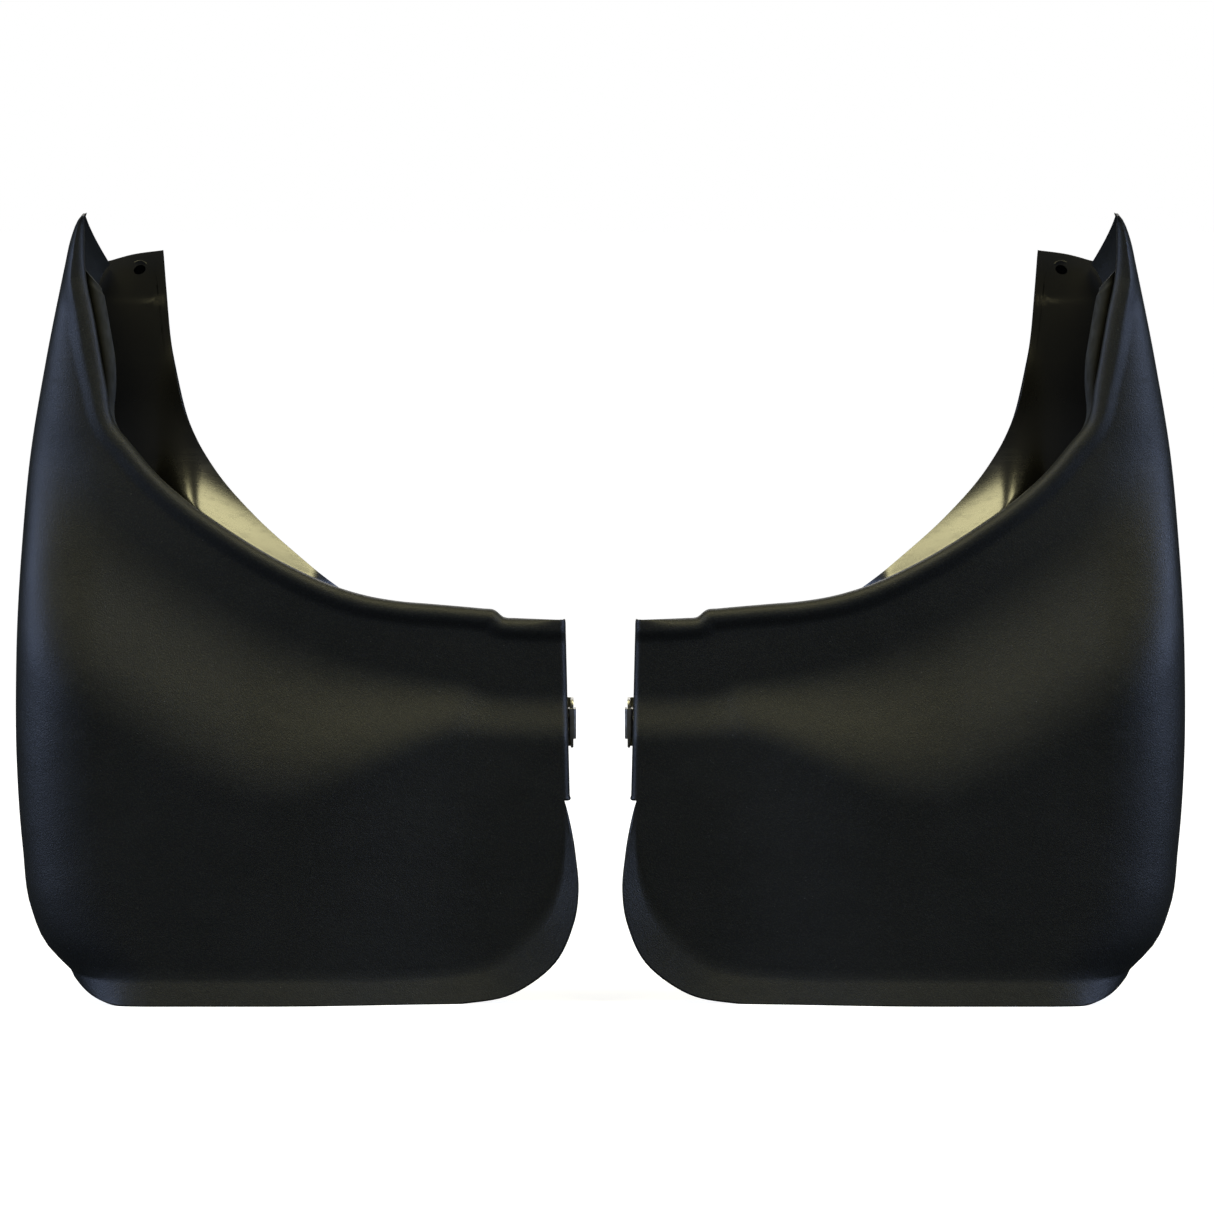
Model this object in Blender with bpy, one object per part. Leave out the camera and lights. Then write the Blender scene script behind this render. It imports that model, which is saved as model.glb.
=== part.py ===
"""A handed pair of moulded mud flaps for the rear wheel arches of a sport-utility vehicle.

World frame: X to the right across the pair, Y forward (the rear faces look to -Y), Z up from
the lowest edge. The pair is symmetric about X = 0. Outlines are written for one flap as
(a, z) in millimetres, where a is the distance outboard from the plane X = 0. Each flap is an
outer shell with a rolled lip, a wheel-side panel screwed to bosses inside it, and its fixings.
"""

import math

import bmesh
import bpy
import numpy as np
from mathutils import Vector
from mathutils.bvhtree import BVHTree

MM = 0.001
GAP = 0.3                      # clearance between touching pieces
WALL = 2.8                     # moulded wall of the shell
PANEL_WALL = 2.4               # moulded wall of the wheel-side panel

# Wheel side: the panel is flat up to axle height, then follows the wheel arch.
PANEL_Y = 34.0
AXLE_Z = 230.0
ARCH_RADIUS = 420.0
TAB_Z = 372.0                  # above this height the tab is flat
RAMP_START = 19.0              # depth where the panel's ramp leaves the lip
RAMP_RISE = 18.0
RAMP_LENGTH = 38.0
DEPTH_CENTRE = 19.8            # middle of the pair's depth, which the world origin stands below

# Rear face
CREST_DROP = 27.0              # how far the face stands behind the lip, outboard
CREST_DROP_INBOARD = 7.0
RIM_KICK = 5.0                 # flare of the bottom rim
HORN_LEAN = 14.0               # the horn's tip leans forward
HORN_TOP_FALL = 27.0           # the side wall's top edge falls towards the front
LIP_ROLL = 5.5                 # radius of the rolled lip
HORN_ROLL = 8.0                # its width on the horn
HORN_ROLL_DEPTH = 3.5
LIP_FLANGE = 4.0               # straight flange past the roll
EDGE_ROLL = 0.6                # what is left of the roll at both ends of the lip
TIP_LENGTH = 0.03              # shares of the lip over which the roll grows from its two ends
INBOARD_LENGTH = 0.05
BEAD_HEIGHT = 1.8              # how far the rolled lip stands behind the face next to it
BEAD_WIDTH = 7.0
INBOARD_RADIUS = 3.5           # corner between the face and the inboard return

# Fixings, all along Y and fitted from the wheel side: places as (a, z)
PANEL_SCREWS = {"inner": (62.0, 84.0), "middle": (168.0, 72.0), "outer": (262.0, 120.0)}
RIVETS = {"inner": (66.0, 186.0), "outer": (122.0, 190.0)}
ARCH_SCREW = (94.0, 178.0)
BRACKET_SCREWS = {"lower": (33.0, 142.0), "upper": (41.0, 154.0)}
BOSS_RADIUS = 5.0
SCREW_RADIUS = 2.1
HOLE_RADIUS = 2.6
RIVET_RADIUS = 3.6
TAB_HOLE = (249.4, 391.0)
TAB_HOLE_SIZE = (6.4, 5.0)

TAB_SOCKET_END = 70.0          # depth where the blind screw socket of the tab ends
TAB_BOSS_RADIUS = 5.2
TAB_BOSS_END = 71.3

# Inboard bracket: one leg behind the panel's inboard edge, one across the pair for the nut
BRACKET_SHEET = 1.5
BRACKET_LEG_A = (14.5, 47.0)   # extent across, of the leg on the panel
BRACKET_LEG_Y = 12.0           # rear edge of the leg that carries the nut
BRACKET_Z = (135.0, 161.0)
NUT_PLACE = (21.0, 148.0)      # (y, z) of the nut's thread axis
NUT_SHEET = 1.1

# Foam pads behind the lip: (a from, a to, z from, z to)
PADS = {"inner": (36.0, 76.0, 180.0, 193.0), "outer": (88.0, 124.0, 186.0, 199.0)}
PAD_THICKNESS = 5.0

SEAL_RADIUS = 3.0
SEAL_STATIONS = 34

# Points on the outlines, (a, z) or (height, a)
SILHOUETTE = [(16.6, 284.0), (28.5, 295.6), (50, 305.3), (82, 309.6), (130, 312.8), (184, 312.8),
              (238, 310.7), (292, 306.4), (340, 298.3), (382, 289.8), (396, 286.8), (405, 284.9),
              (412.5, 282.6), (418, 280.2), (421.5, 277.4)]
LIP_EDGE = [(276.6, 421.5), (275.8, 388), (271.6, 367), (265, 331), (260, 309), (252, 299),
            (236.5, 281), (223, 269), (202, 254), (167.8, 233.6), (139.3, 221), (124, 216.7),
            (107.7, 214), (90, 212.5), (63, 210.1), (57.2, 209.5), (51.4, 205.4), (46, 205),
            (22, 204.4)]
CREASE = [(284, 16.6), (276.5, 15.4), (265, 14.5), (249, 14.2), (236, 14.2), (161, 14.2),
          (104, 14.2), (78, 15.6), (58, 20.5), (42.7, 32), (29.5, 46), (22.3, 62), (19.4, 80),
          (19.9, 110)]
RIM = [(283, 14.6), (275.5, 7.4), (264, 1.6), (248, 0), (236, 0), (161, 0), (104, 0), (72, 0.5),
       (47, 5.4), (25.5, 21), (15.4, 42), (12.8, 60), (14.4, 79), (19.4, 108.6)]
PANEL_EDGE = [(237, 401.5), (234.8, 378), (230.6, 343), (222, 309.5), (207, 283), (186, 259),
              (159, 235), (139.3, 219)]


# ---- curves and blends -------------------------------------------------------------------------

def smooth_step(value):
    t = np.clip(value, 0.0, 1.0)
    return t * t * (3.0 - 2.0 * t)


def spline(knots, points, t):
    """Cubic Hermite curve through the points at the given knots, evaluated at t."""
    knots = np.asarray(knots, float)
    points = np.asarray(points, float)
    if points.ndim == 1:
        points = points[:, None]
    step = np.diff(knots)[:, None]
    slope = np.diff(points, axis=0) / step
    tangent = np.vstack([slope[:1], (slope[:-1] * step[1:] + slope[1:] * step[:-1])
                         / (step[1:] + step[:-1]), slope[-1:]])
    t = np.clip(np.asarray(t, float), knots[0], knots[-1])
    i = np.clip(np.searchsorted(knots, t, side="right") - 1, 0, len(knots) - 2)
    h = step[i]
    f = ((t - knots[i])[..., None]) / h
    return ((2 * f ** 3 - 3 * f ** 2 + 1) * points[i] + (f ** 3 - 2 * f ** 2 + f) * h * tangent[i]
            + (3 * f ** 2 - 2 * f ** 3) * points[i + 1] + (f ** 3 - f ** 2) * h * tangent[i + 1])


def chord_knots(points):
    """Knots from 0 to 1 by distance along the points."""
    lengths = np.linalg.norm(np.diff(np.asarray(points, float), axis=0), axis=1)
    knots = np.concatenate([[0.0], np.cumsum(lengths)])
    return knots / knots[-1]


def along(points, t):
    return spline(chord_knots(points), points, t)


def silhouette_at(z):
    heights, reach = zip(*SILHOUETTE)
    return spline(heights, reach, z)[..., 0]


def coons(left, right, bottom, top, u, v, reach=1.0):
    """Points of the patch between four boundary curves; u runs across, v runs up.

    A larger reach keeps the shape of the top curve nearer to it."""
    u = u[None, :, None]
    v = v[:, None, None]
    across = (1 - u) * left[:, None, :] + u * right[:, None, :]
    bottom_bow = bottom[None] - ((1 - u) * bottom[0] + u * bottom[-1])
    top_bow = top[None] - ((1 - u) * top[0] + u * top[-1])
    return across + (1 - v) * bottom_bow + v ** reach * top_bow


def relaxed(flat, share, rounds):
    """The patch with its rows and columns evened out, so that none cross; the edges stay."""
    flat = flat.copy()
    for _ in range(rounds):
        east = flat[1:-1, 2:]
        west = flat[1:-1, :-2]
        north = flat[2:, 1:-1]
        south = flat[:-2, 1:-1]
        run = (east - west) / 2
        rise = (north - south) / 2
        twist = (flat[2:, 2:] - flat[2:, :-2] - flat[:-2, 2:] + flat[:-2, :-2]) / 4
        alpha = (rise ** 2).sum(-1, keepdims=True)
        beta = (run * rise).sum(-1, keepdims=True)
        gamma = (run ** 2).sum(-1, keepdims=True)
        even = (alpha * (east + west) + gamma * (north + south) - 2 * beta * twist)
        even /= np.maximum(2 * (alpha + gamma), 1e-9)
        flat[1:-1, 1:-1] += share[1:-1, None, None] * (even - flat[1:-1, 1:-1])
    return flat


def lip_distance(points):
    """Signed distance of (a, z) points from the lip's edge, positive on its open side."""
    curve = along(LIP_EDGE, np.linspace(0, 1, 160))
    start = curve[:-1]
    run = np.diff(curve, axis=0)
    flat = points.reshape(-1, 1, 2)
    share = np.clip(((flat - start) * run).sum(-1) / (run ** 2).sum(-1), 0, 1)
    offset = flat - (start + share[..., None] * run)
    distance = np.linalg.norm(offset, axis=-1)
    nearest = distance.argmin(axis=1)
    rows = np.arange(len(flat))
    side = run[nearest, 0] * offset[rows, nearest, 1] - run[nearest, 1] * offset[rows, nearest, 0]
    return (np.sign(-side) * distance[rows, nearest]).reshape(points.shape[:-1])


# ---- the two mouldings -------------------------------------------------------------------------

def arch_y(z):
    """Depth of the wheel-side surface at a height."""
    rise = np.clip(np.minimum(z, TAB_Z) - AXLE_Z, 0, None)
    slope = (TAB_Z - AXLE_Z) / math.sqrt(ARCH_RADIUS ** 2 - (TAB_Z - AXLE_Z) ** 2)
    flat = np.clip(z - TAB_Z, 0, None) * slope
    return PANEL_Y + ARCH_RADIUS - np.sqrt(ARCH_RADIUS ** 2 - rise ** 2) + flat


def wall_lean(z):
    """How far inboard the side wall's front edge stands from the silhouette."""
    return 5.0 + 5.5 * smooth_step((z - 200.0) / 200.0)


def shell_grid(across, up, wall, returns, roll):
    """Outer surface of the shell as rows of (a, y, z): rim rows, then face rows, then the roll.

    across: face positions from outboard 0 to inboard 1. up: face positions from the crease 0
    to the lip 1. wall: positions along the side wall from its front edge 1 to the corner 0.
    returns: (angle in degrees, flange) of the inboard return. roll: angles round the lip.
    """
    knots = chord_knots(CREASE)
    bottom = spline(knots, CREASE, across)
    rim = spline(knots, RIM, across)
    edge = along(LIP_EDGE, across)
    ahead = along(LIP_EDGE, np.clip(across + 0.02, 0, 1))
    behind = along(LIP_EDGE, np.clip(across - 0.02, 0, 1))
    tangent = (ahead - behind) / np.linalg.norm(ahead - behind, axis=1)[:, None]
    horn = smooth_step((edge[:, 1] - 290.0) / 60.0)
    tip = smooth_step(across / TIP_LENGTH)
    inboard_end = smooth_step((1.0 - across) / INBOARD_LENGTH)
    roll_width = LIP_ROLL + (HORN_ROLL - LIP_ROLL) * horn
    horn_width = np.clip(silhouette_at(edge[:, 1]) - edge[:, 0], 1.0, None)
    roll_width = np.minimum(EDGE_ROLL + (roll_width - EDGE_ROLL) * tip, 0.62 * horn_width)
    roll_depth = LIP_ROLL + (HORN_ROLL_DEPTH - LIP_ROLL) * horn
    roll_depth = EDGE_ROLL + (roll_depth - EDGE_ROLL) * tip * inboard_end
    flange = EDGE_ROLL + (LIP_FLANGE - EDGE_ROLL) * tip * inboard_end
    inward = np.stack([-tangent[:, 1], tangent[:, 0]], axis=1)
    top = edge - inward * roll_width[:, None] * np.sign(inward[-1, 1])
    top[0, 0] = silhouette_at(top[0, 1])
    left_z = SILHOUETTE[0][0] + (top[0, 1] - SILHOUETTE[0][0]) * up
    left = np.stack([silhouette_at(left_z), left_z], axis=1)
    left[0] = bottom[0]
    left[-1] = top[0]
    right = bottom[-1] + (top[-1] - bottom[-1]) * up[:, None]
    face = coons(left, right, bottom, top, across, up, 3.0)
    face = relaxed(face, smooth_step((up - 0.5) / 0.2), RELAX_ROUNDS)

    below_lip = -lip_distance(face) - LIP_ROLL
    inboard = 0.5 + (180.0 - face[..., 0]) / 320.0
    drop = CREST_DROP + (CREST_DROP_INBOARD - CREST_DROP) * smooth_step((inboard - 0.5) / 0.42)
    start = 26.0 + 8.0 * smooth_step((inboard - 0.5) / 0.4)
    run = 92.0 - 66.0 * smooth_step((inboard - 0.45) / 0.45)
    lean = HORN_LEAN * smooth_step((face[..., 1] - AXLE_Z) / 190.0)
    depth = lean - drop * smooth_step((below_lip - start) / run)
    past_bead = below_lip - (HORN_ROLL - LIP_ROLL) * smooth_step((face[..., 1] - 290.0) / 60.0)
    depth = depth - BEAD_HEIGHT * (1.0 - smooth_step(past_bead / BEAD_WIDTH))

    reach = silhouette_at(face[..., 1])
    room = reach - spline(*zip(*sorted((z, a) for a, z in LIP_EDGE[:5])), face[..., 1])[..., 0]
    narrow = smooth_step((face[..., 1] - 285.0) / 30.0)
    width = 46.0 + (np.clip(0.8 * room, 2.0, 46.0) - 46.0) * narrow
    height = 30.0 - 21.0 * smooth_step((face[..., 1] - 250.0) / 150.0)
    outboard = np.clip(1.0 - (reach - face[..., 0]) / width, 0.0, 1.0)
    depth = depth + height * (1.0 - np.sqrt(1.0 - outboard ** 2))

    kick = RIM_KICK * smooth_step(across / 0.09) * smooth_step((1.0 - across) / 0.2)
    rows = []
    for share in RIM_SHARES:
        flat = rim + (bottom - rim) * share
        rows.append(np.stack([flat[:, 0], depth[0] - kick * (1 - share), flat[:, 1]], axis=1))
    for j in range(len(up)):
        rows.append(np.stack([face[j, :, 0], depth[j], face[j, :, 1]], axis=1))
    grid = np.array(rows)

    # Side wall: forward from the corner to the arch line, leaning inboard.
    corner = grid[:, :1]
    share = wall[None, :, None]
    high = smooth_step((corner[..., 2:] - 330.0) / 90.0)
    front_z = corner[..., 2:] - HORN_TOP_FALL * high
    front_y = arch_y(front_z) + PANEL_WALL - 6.0 * smooth_step((front_z - 360.0) / 30.0)
    front_a = corner[..., :1] - wall_lean(corner[..., 2:])
    front = np.concatenate([front_a, front_y, front_z], axis=-1)
    side = corner + (front - corner) * share
    side[..., 0] = (corner[..., 0] - (corner[..., 0] - front[..., 0]) * wall[None] ** 1.3)

    # Inboard return: a small radius, then a flange forward.
    last = grid[:, -1:]
    ends = []
    for angle, straight in returns:
        turn = math.radians(angle)
        ends.append(last + np.array([-INBOARD_RADIUS * math.sin(turn),
                                     INBOARD_RADIUS * (1 - math.cos(turn)) + straight, 0]))
    grid = np.concatenate([side] + [grid] + ends, axis=1)

    # Rolled lip along the last row, turning towards the inside of the shell.
    inside = -grid_normals(grid)[-1]
    count = side.shape[1]
    inside[count:count + len(across)] = (0.0, 1.0, 0.0)
    outward = np.zeros_like(inside)
    outward[:count, 2] = EDGE_ROLL
    outward[count:count + len(across), 0] = (edge - top)[:, 0]
    outward[count:count + len(across), 2] = (edge - top)[:, 1]
    outward[count + len(across):] = outward[count + len(across) - 1]
    plain_side = np.full(count, EDGE_ROLL)
    plain_return = np.full(len(returns), EDGE_ROLL)
    roll_depth = np.concatenate([plain_side, roll_depth, plain_return])
    flange = np.concatenate([plain_side, flange, plain_return])
    base = grid[-1]
    rolled = []
    for angle in roll:
        turn = math.radians(angle)
        rolled.append(base + outward * math.sin(turn)
                      + inside * (roll_depth * (1 - math.cos(turn)))[:, None])
    rolled.append(rolled[-1] + inside * flange[:, None])
    return np.concatenate([grid, np.array(rolled)], axis=0)


def panel_depth(points):
    """Depth of the panel's rear side: flat below, a ramp beside the diagonal lip, the arch above."""
    a = points[..., 0]
    z = points[..., 1]
    beyond = lip_distance(points)
    near = smooth_step((a - 134.0) / 22.0) * (1.0 - smooth_step((a - 214.0) / 26.0))
    near = near * (1.0 - smooth_step((z - 320.0) / 40.0))
    share = np.clip((beyond + 1.0) / RAMP_LENGTH, 0.0, 1.0)
    climb = RAMP_START + RAMP_RISE * (2.0 * share - share ** 2)
    below = smooth_step((beyond + 60.0) / 52.0)
    ramp = PANEL_Y + (climb - PANEL_Y) * below
    return arch_y(z) + (ramp - arch_y(z)) * near


def panel_grid(across, up):
    """Rear surface of the wheel-side panel; across runs from outboard 0 to inboard 1."""
    tab = [(266.6, 395.6), (253.5, 399.2), PANEL_EDGE[0]]
    hidden = [PANEL_EDGE[-1], (128, 208), (110, 203), (26, 197)]
    tab_end, edge_end = 0.16, 0.72
    top = np.array([
        along(tab, s / tab_end) if s <= tab_end
        else along(PANEL_EDGE, (s - tab_end) / (edge_end - tab_end)) if s <= edge_end
        else along(hidden, (s - edge_end) / (1 - edge_end))
        for s in across])
    left_z = 40.0 + (top[0, 1] - 40.0) * up
    wall_z = left_z + HORN_TOP_FALL * smooth_step((left_z - 300.0) / 90.0)
    left = np.stack([silhouette_at(wall_z) - wall_lean(wall_z) - WALL - 1.4, left_z], axis=1)
    left[:, 0] += 5.0 * smooth_step((left_z - 378.0) / 10.0)
    left[-1] = top[0]
    right = np.stack([np.full(len(up), 26.0), 40.0 + (top[-1, 1] - 40.0) * up], axis=1)
    bottom = left[0] + (right[0] - left[0]) * across[:, None]
    flat = coons(left, right, bottom, top, across, up)
    return np.stack([flat[..., 0], panel_depth(flat), flat[..., 1]], axis=-1)


def panel_normals(rear, probe=0.25):
    """Unit normals of the panel's rear side, from the slope of its depth."""
    flat = rear[..., [0, 2]]
    step_a = np.array([probe, 0.0])
    step_z = np.array([0.0, probe])
    slope_a = (panel_depth(flat + step_a) - panel_depth(flat - step_a)) / (2 * probe)
    slope_z = (panel_depth(flat + step_z) - panel_depth(flat - step_z)) / (2 * probe)
    normal = np.stack([slope_a, np.full(slope_a.shape, -1.0), slope_z], axis=-1)
    return normal / np.linalg.norm(normal, axis=-1)[..., None]


# ---- meshes ------------------------------------------------------------------------------------

def grid_normals(grid):
    """Unit normals of a grid, pointing to the rear for a grid that runs inboard and up."""
    across = np.gradient(grid, axis=1)
    up = np.gradient(grid, axis=0)
    normal = np.cross(up, across)
    return normal / np.maximum(np.linalg.norm(normal, axis=-1), 1e-9)[..., None]


def to_world(points, side):
    """(a, y, z) in millimetres to world metres; side is -1 for the left flap, 1 for the right."""
    return [(side * a * MM, y * MM, z * MM) for a, y, z in points]


def add_object(name, mesh, slot, location=(0, 0, 0)):
    obj = bpy.data.objects.new(name, mesh)
    obj.location = location
    bpy.context.scene.collection.objects.link(obj)
    colour, roughness, metallic = LOOKS[slot]
    material = bpy.data.materials.new(name)
    material.use_nodes = True
    shader = material.node_tree.nodes["Principled BSDF"]
    shader.inputs["Base Color"].default_value = (*colour, 1.0)
    shader.inputs["Roughness"].default_value = roughness
    shader.inputs["Metallic"].default_value = metallic
    mesh.materials.append(material)
    return obj


def outward_mesh(name, points, faces):
    """A mesh with its faces turned outwards."""
    mesh = bpy.data.meshes.new(name)
    mesh.from_pydata(points, [], faces)
    shape = bmesh.new()
    shape.from_mesh(mesh)
    bmesh.ops.recalc_face_normals(shape, faces=shape.faces)
    shape.to_mesh(mesh)
    shape.free()
    mesh.shade_smooth()
    mesh.set_sharp_from_angle(angle=math.radians(38))
    return mesh


def thick_sheet(name, front, back, side):
    """A closed sheet between two grids of the same size."""
    rows, columns = front.shape[:2]
    count = rows * columns
    points = to_world(np.concatenate([front.reshape(-1, 3), back.reshape(-1, 3)]), side)
    faces = []
    for i in range(rows - 1):
        for j in range(columns - 1):
            a = i * columns + j
            faces.append((a, a + 1, a + columns + 1, a + columns))
            faces.append((count + a, count + a + columns, count + a + columns + 1, count + a + 1))
    border = [j for j in range(columns)]
    border += [i * columns + columns - 1 for i in range(1, rows)]
    border += [(rows - 1) * columns + j for j in range(columns - 2, -1, -1)]
    border += [i * columns for i in range(rows - 2, 0, -1)]
    for here, following in zip(border, border[1:] + border[:1]):
        faces.append((here, following, count + following, count + here))
    return outward_mesh(name, points, faces)


def turned(name, profile, sides=12):
    """A solid of revolution about local Y from (radius, y) points in mm, the ends on the axis."""
    points = []
    faces = []
    rings = []
    for radius, y in profile:
        if radius == 0:
            rings.append([len(points)])
            points.append((0.0, y * MM, 0.0))
            continue
        rings.append(list(range(len(points), len(points) + sides)))
        for k in range(sides):
            turn = 2 * math.pi * k / sides
            points.append((radius * MM * math.cos(turn), y * MM, radius * MM * math.sin(turn)))
    for lower, upper in zip(rings, rings[1:]):
        for k in range(sides):
            following = (k + 1) % sides
            corners = {lower[k % len(lower)]: 0, lower[following % len(lower)]: 0,
                       upper[following % len(upper)]: 0, upper[k % len(upper)]: 0}
            faces.append(tuple(corners))
    return outward_mesh(name, points, faces)


def boolean(target, other, operation):
    modifier = target.modifiers.new(operation.title(), "BOOLEAN")
    modifier.operation = operation
    modifier.solver = "EXACT"
    modifier.object = other
    other.hide_render = True
    other.display_type = "WIRE"


def helper(name, mesh, location=(0, 0, 0)):
    obj = bpy.data.objects.new(name, mesh)
    obj.location = location
    bpy.context.scene.collection.objects.link(obj)
    return obj


def at(side, place, y=0.0):
    """World location of an (a, z) place at depth y."""
    return (side * place[0] * MM, y * MM, place[1] * MM)


# ---- pieces ------------------------------------------------------------------------------------

LOOKS = {
    "shell": ((0.022, 0.023, 0.025), 0.52, 0.0),
    "panel": ((0.024, 0.024, 0.025), 0.45, 0.0),
    "seal": ((0.030, 0.031, 0.028), 0.70, 0.0),
    "foam": ((0.050, 0.050, 0.052), 0.95, 0.0),
    "zinc": ((0.62, 0.62, 0.60), 0.35, 1.0),
    "clip": ((0.018, 0.018, 0.019), 0.40, 0.0),
}

RELAX_ROUNDS = 60
LIP_STEP = chord_knots(LIP_EDGE)[-4:-2]
FACE_ACROSS = np.concatenate([[0, 0.005, 0.013, 0.025, 0.04, 0.06, 0.09, 0.13, 0.17],
                              np.linspace(0.22, 0.88, 14),
                              LIP_STEP, [0.97, 1.0]])
FACE_UP = np.concatenate([[0, 0.03, 0.08], np.linspace(0.16, 0.8, 9),
                          [0.85, 0.89, 0.92, 0.945, 0.965, 0.985, 1.0]])
SIDE_WALL = np.array([1.0, 0.7, 0.4, 0.15])
INBOARD_RETURN = ((30, 0.0), (60, 0.0), (90, 0.0), (90, 8.0))
ROLL_ANGLES = (30, 60, 90)
RIM_SHARES = (0.0, 0.45)
RIM_ROWS = len(RIM_SHARES)


def shell_inner(outer):
    """Inner surface of the shell; the wall thins towards the horn's tip."""
    from_tip = np.hypot(outer[..., 0] - LIP_EDGE[0][0], outer[..., 2] - LIP_EDGE[0][1])
    wall = WALL * (0.4 + 0.6 * smooth_step(from_tip / 70.0))
    normals = grid_normals(outer)
    normals[:RIM_ROWS] = normals[RIM_ROWS]
    inner = outer - normals * wall[..., None]
    inner[0, :, 2] = outer[0, :, 2]
    return inner


def make_shell(label, side):
    outer = shell_grid(FACE_ACROSS, FACE_UP, SIDE_WALL, INBOARD_RETURN, ROLL_ANGLES)
    mesh = thick_sheet(f"{label}_outer_shell", outer, shell_inner(outer), side)
    shell = add_object(f"{label}_outer_shell", mesh, "shell")
    surface = BVHTree.FromPolygons([v.co for v in mesh.vertices],
                                   [p.vertices[:] for p in mesh.polygons])
    for name, place in PANEL_SCREWS.items():
        hit = surface.ray_cast(Vector(at(side, place, PANEL_Y)), Vector((0, -1, 0)))[0]
        floor = hit.y / MM - WALL * 0.5
        top = PANEL_Y - GAP
        profile = [(0, floor), (BOSS_RADIUS + 0.8, floor), (BOSS_RADIUS, top),
                   (SCREW_RADIUS + GAP, top), (SCREW_RADIUS + GAP, top - 17.0), (0, top - 17.0)]
        boss = helper(f"{label}_boss_{name}", turned("boss", profile), at(side, place))
        boolean(shell, boss, "UNION")
    return shell


def make_panel(label, side):
    across = np.concatenate([np.linspace(0, 0.16, 4), np.linspace(0.16, 0.72, 15)[1:],
                             np.linspace(0.72, 1, 7)[1:]])
    up = np.concatenate([np.linspace(0, 0.5, 5), np.linspace(0.5, 0.92, 8)[1:], [0.945, 1.0]])
    rear = panel_grid(across, up)
    front = rear - panel_normals(rear) * PANEL_WALL
    mesh = thick_sheet(f"{label}_liner_panel", rear, front, side)
    panel = add_object(f"{label}_liner_panel", mesh, "panel")
    skin = float(panel_depth(np.array([TAB_HOLE]))[0]) + PANEL_WALL
    profile = [(0, skin - 1.0), (TAB_BOSS_RADIUS, skin - 1.0), (TAB_BOSS_RADIUS, TAB_BOSS_END),
               (0, TAB_BOSS_END)]
    boss = helper(f"{label}_tab_boss", turned("tab_boss", profile, 20), at(side, TAB_HOLE))
    boolean(panel, boss, "UNION")
    holes = [(HOLE_RADIUS, place) for place in PANEL_SCREWS.values()]
    holes += [(RIVET_RADIUS + GAP, place) for place in RIVETS.values()]
    holes += [(HOLE_RADIUS, place) for place in BRACKET_SCREWS.values()]
    holes.append((HOLE_RADIUS, ARCH_SCREW))
    for number, (radius, place) in enumerate(holes):
        profile = [(0, 20.0), (radius, 20.0), (radius, 50.0), (0, 50.0)]
        cutter = helper(f"{label}_hole_{number}", turned("hole", profile, 16), at(side, place))
        boolean(panel, cutter, "DIFFERENCE")
    half_width = TAB_HOLE_SIZE[0] / 2
    profile = [(0, 30.0), (half_width, 30.0), (half_width, TAB_SOCKET_END), (0, TAB_SOCKET_END)]
    cutter = helper(f"{label}_tab_hole", turned("slot", profile, 20), at(side, TAB_HOLE))
    cutter.scale = (1.0, 1.0, TAB_HOLE_SIZE[1] / TAB_HOLE_SIZE[0])
    boolean(panel, cutter, "DIFFERENCE")
    return panel


def make_seal(label, side):
    """Bulb strip on the end of the lip's flange, from the horn inboard; wider inside the horn."""
    stations = np.linspace(0.075, 0.93, SEAL_STATIONS)
    outer = shell_grid(FACE_ACROSS, FACE_UP, SIDE_WALL, INBOARD_RETURN, ROLL_ANGLES)
    middle = (outer + shell_inner(outer)) / 2
    ends = middle[-1, len(SIDE_WALL):][:len(FACE_ACROSS)]
    forward = ends - middle[-2, len(SIDE_WALL):][:len(FACE_ACROSS)]
    forward /= np.linalg.norm(forward, axis=1)[:, None]
    end = np.stack([np.interp(stations, FACE_ACROSS, ends[:, k]) for k in range(3)], axis=1)
    forward = np.stack([np.interp(stations, FACE_ACROSS, forward[:, k]) for k in range(3)], axis=1)
    tangent = np.gradient(end, axis=0)
    outward = np.cross(tangent, forward)
    outward /= np.linalg.norm(outward, axis=1)[:, None]
    outward *= np.sign(outward[-1, 2])
    horn = smooth_step((end[:, 2] - 296.0) / 50.0)
    widths = SEAL_RADIUS + 1.4 * horn
    centre = end + forward * (SEAL_RADIUS + 3 * GAP) + outward * (-2.6 + 6.6 * horn)[:, None]
    sides = 8
    points = []
    faces = []
    for place, normal, ahead, width in zip(centre, outward, forward, widths):
        for k in range(sides):
            turn = 2 * math.pi * (k + 0.5) / sides
            points.append(place + normal * width * math.cos(turn)
                          + ahead * SEAL_RADIUS * math.sin(turn))
    for i in range(len(stations) - 1):
        for k in range(sides):
            a = i * sides + k
            b = i * sides + (k + 1) % sides
            faces.append((a, b, b + sides, a + sides))
    faces.append(tuple(range(sides)))
    faces.append(tuple(range((len(stations) - 1) * sides, len(stations) * sides)))
    mesh = outward_mesh(f"{label}_edge_seal", to_world(points, side), faces)
    return add_object(f"{label}_edge_seal", mesh, "seal")


def screw_profile(head_radius, head, length, radius):
    """Pan-head screw along Y: its head stands on y = 0 towards +Y, its shank points to -Y."""
    return [(0, head), (head_radius * 0.62, head), (head_radius, head * 0.45), (head_radius, 0),
            (radius, 0), (radius, -length + 2.0), (radius * 0.35, -length), (0, -length)]


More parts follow.
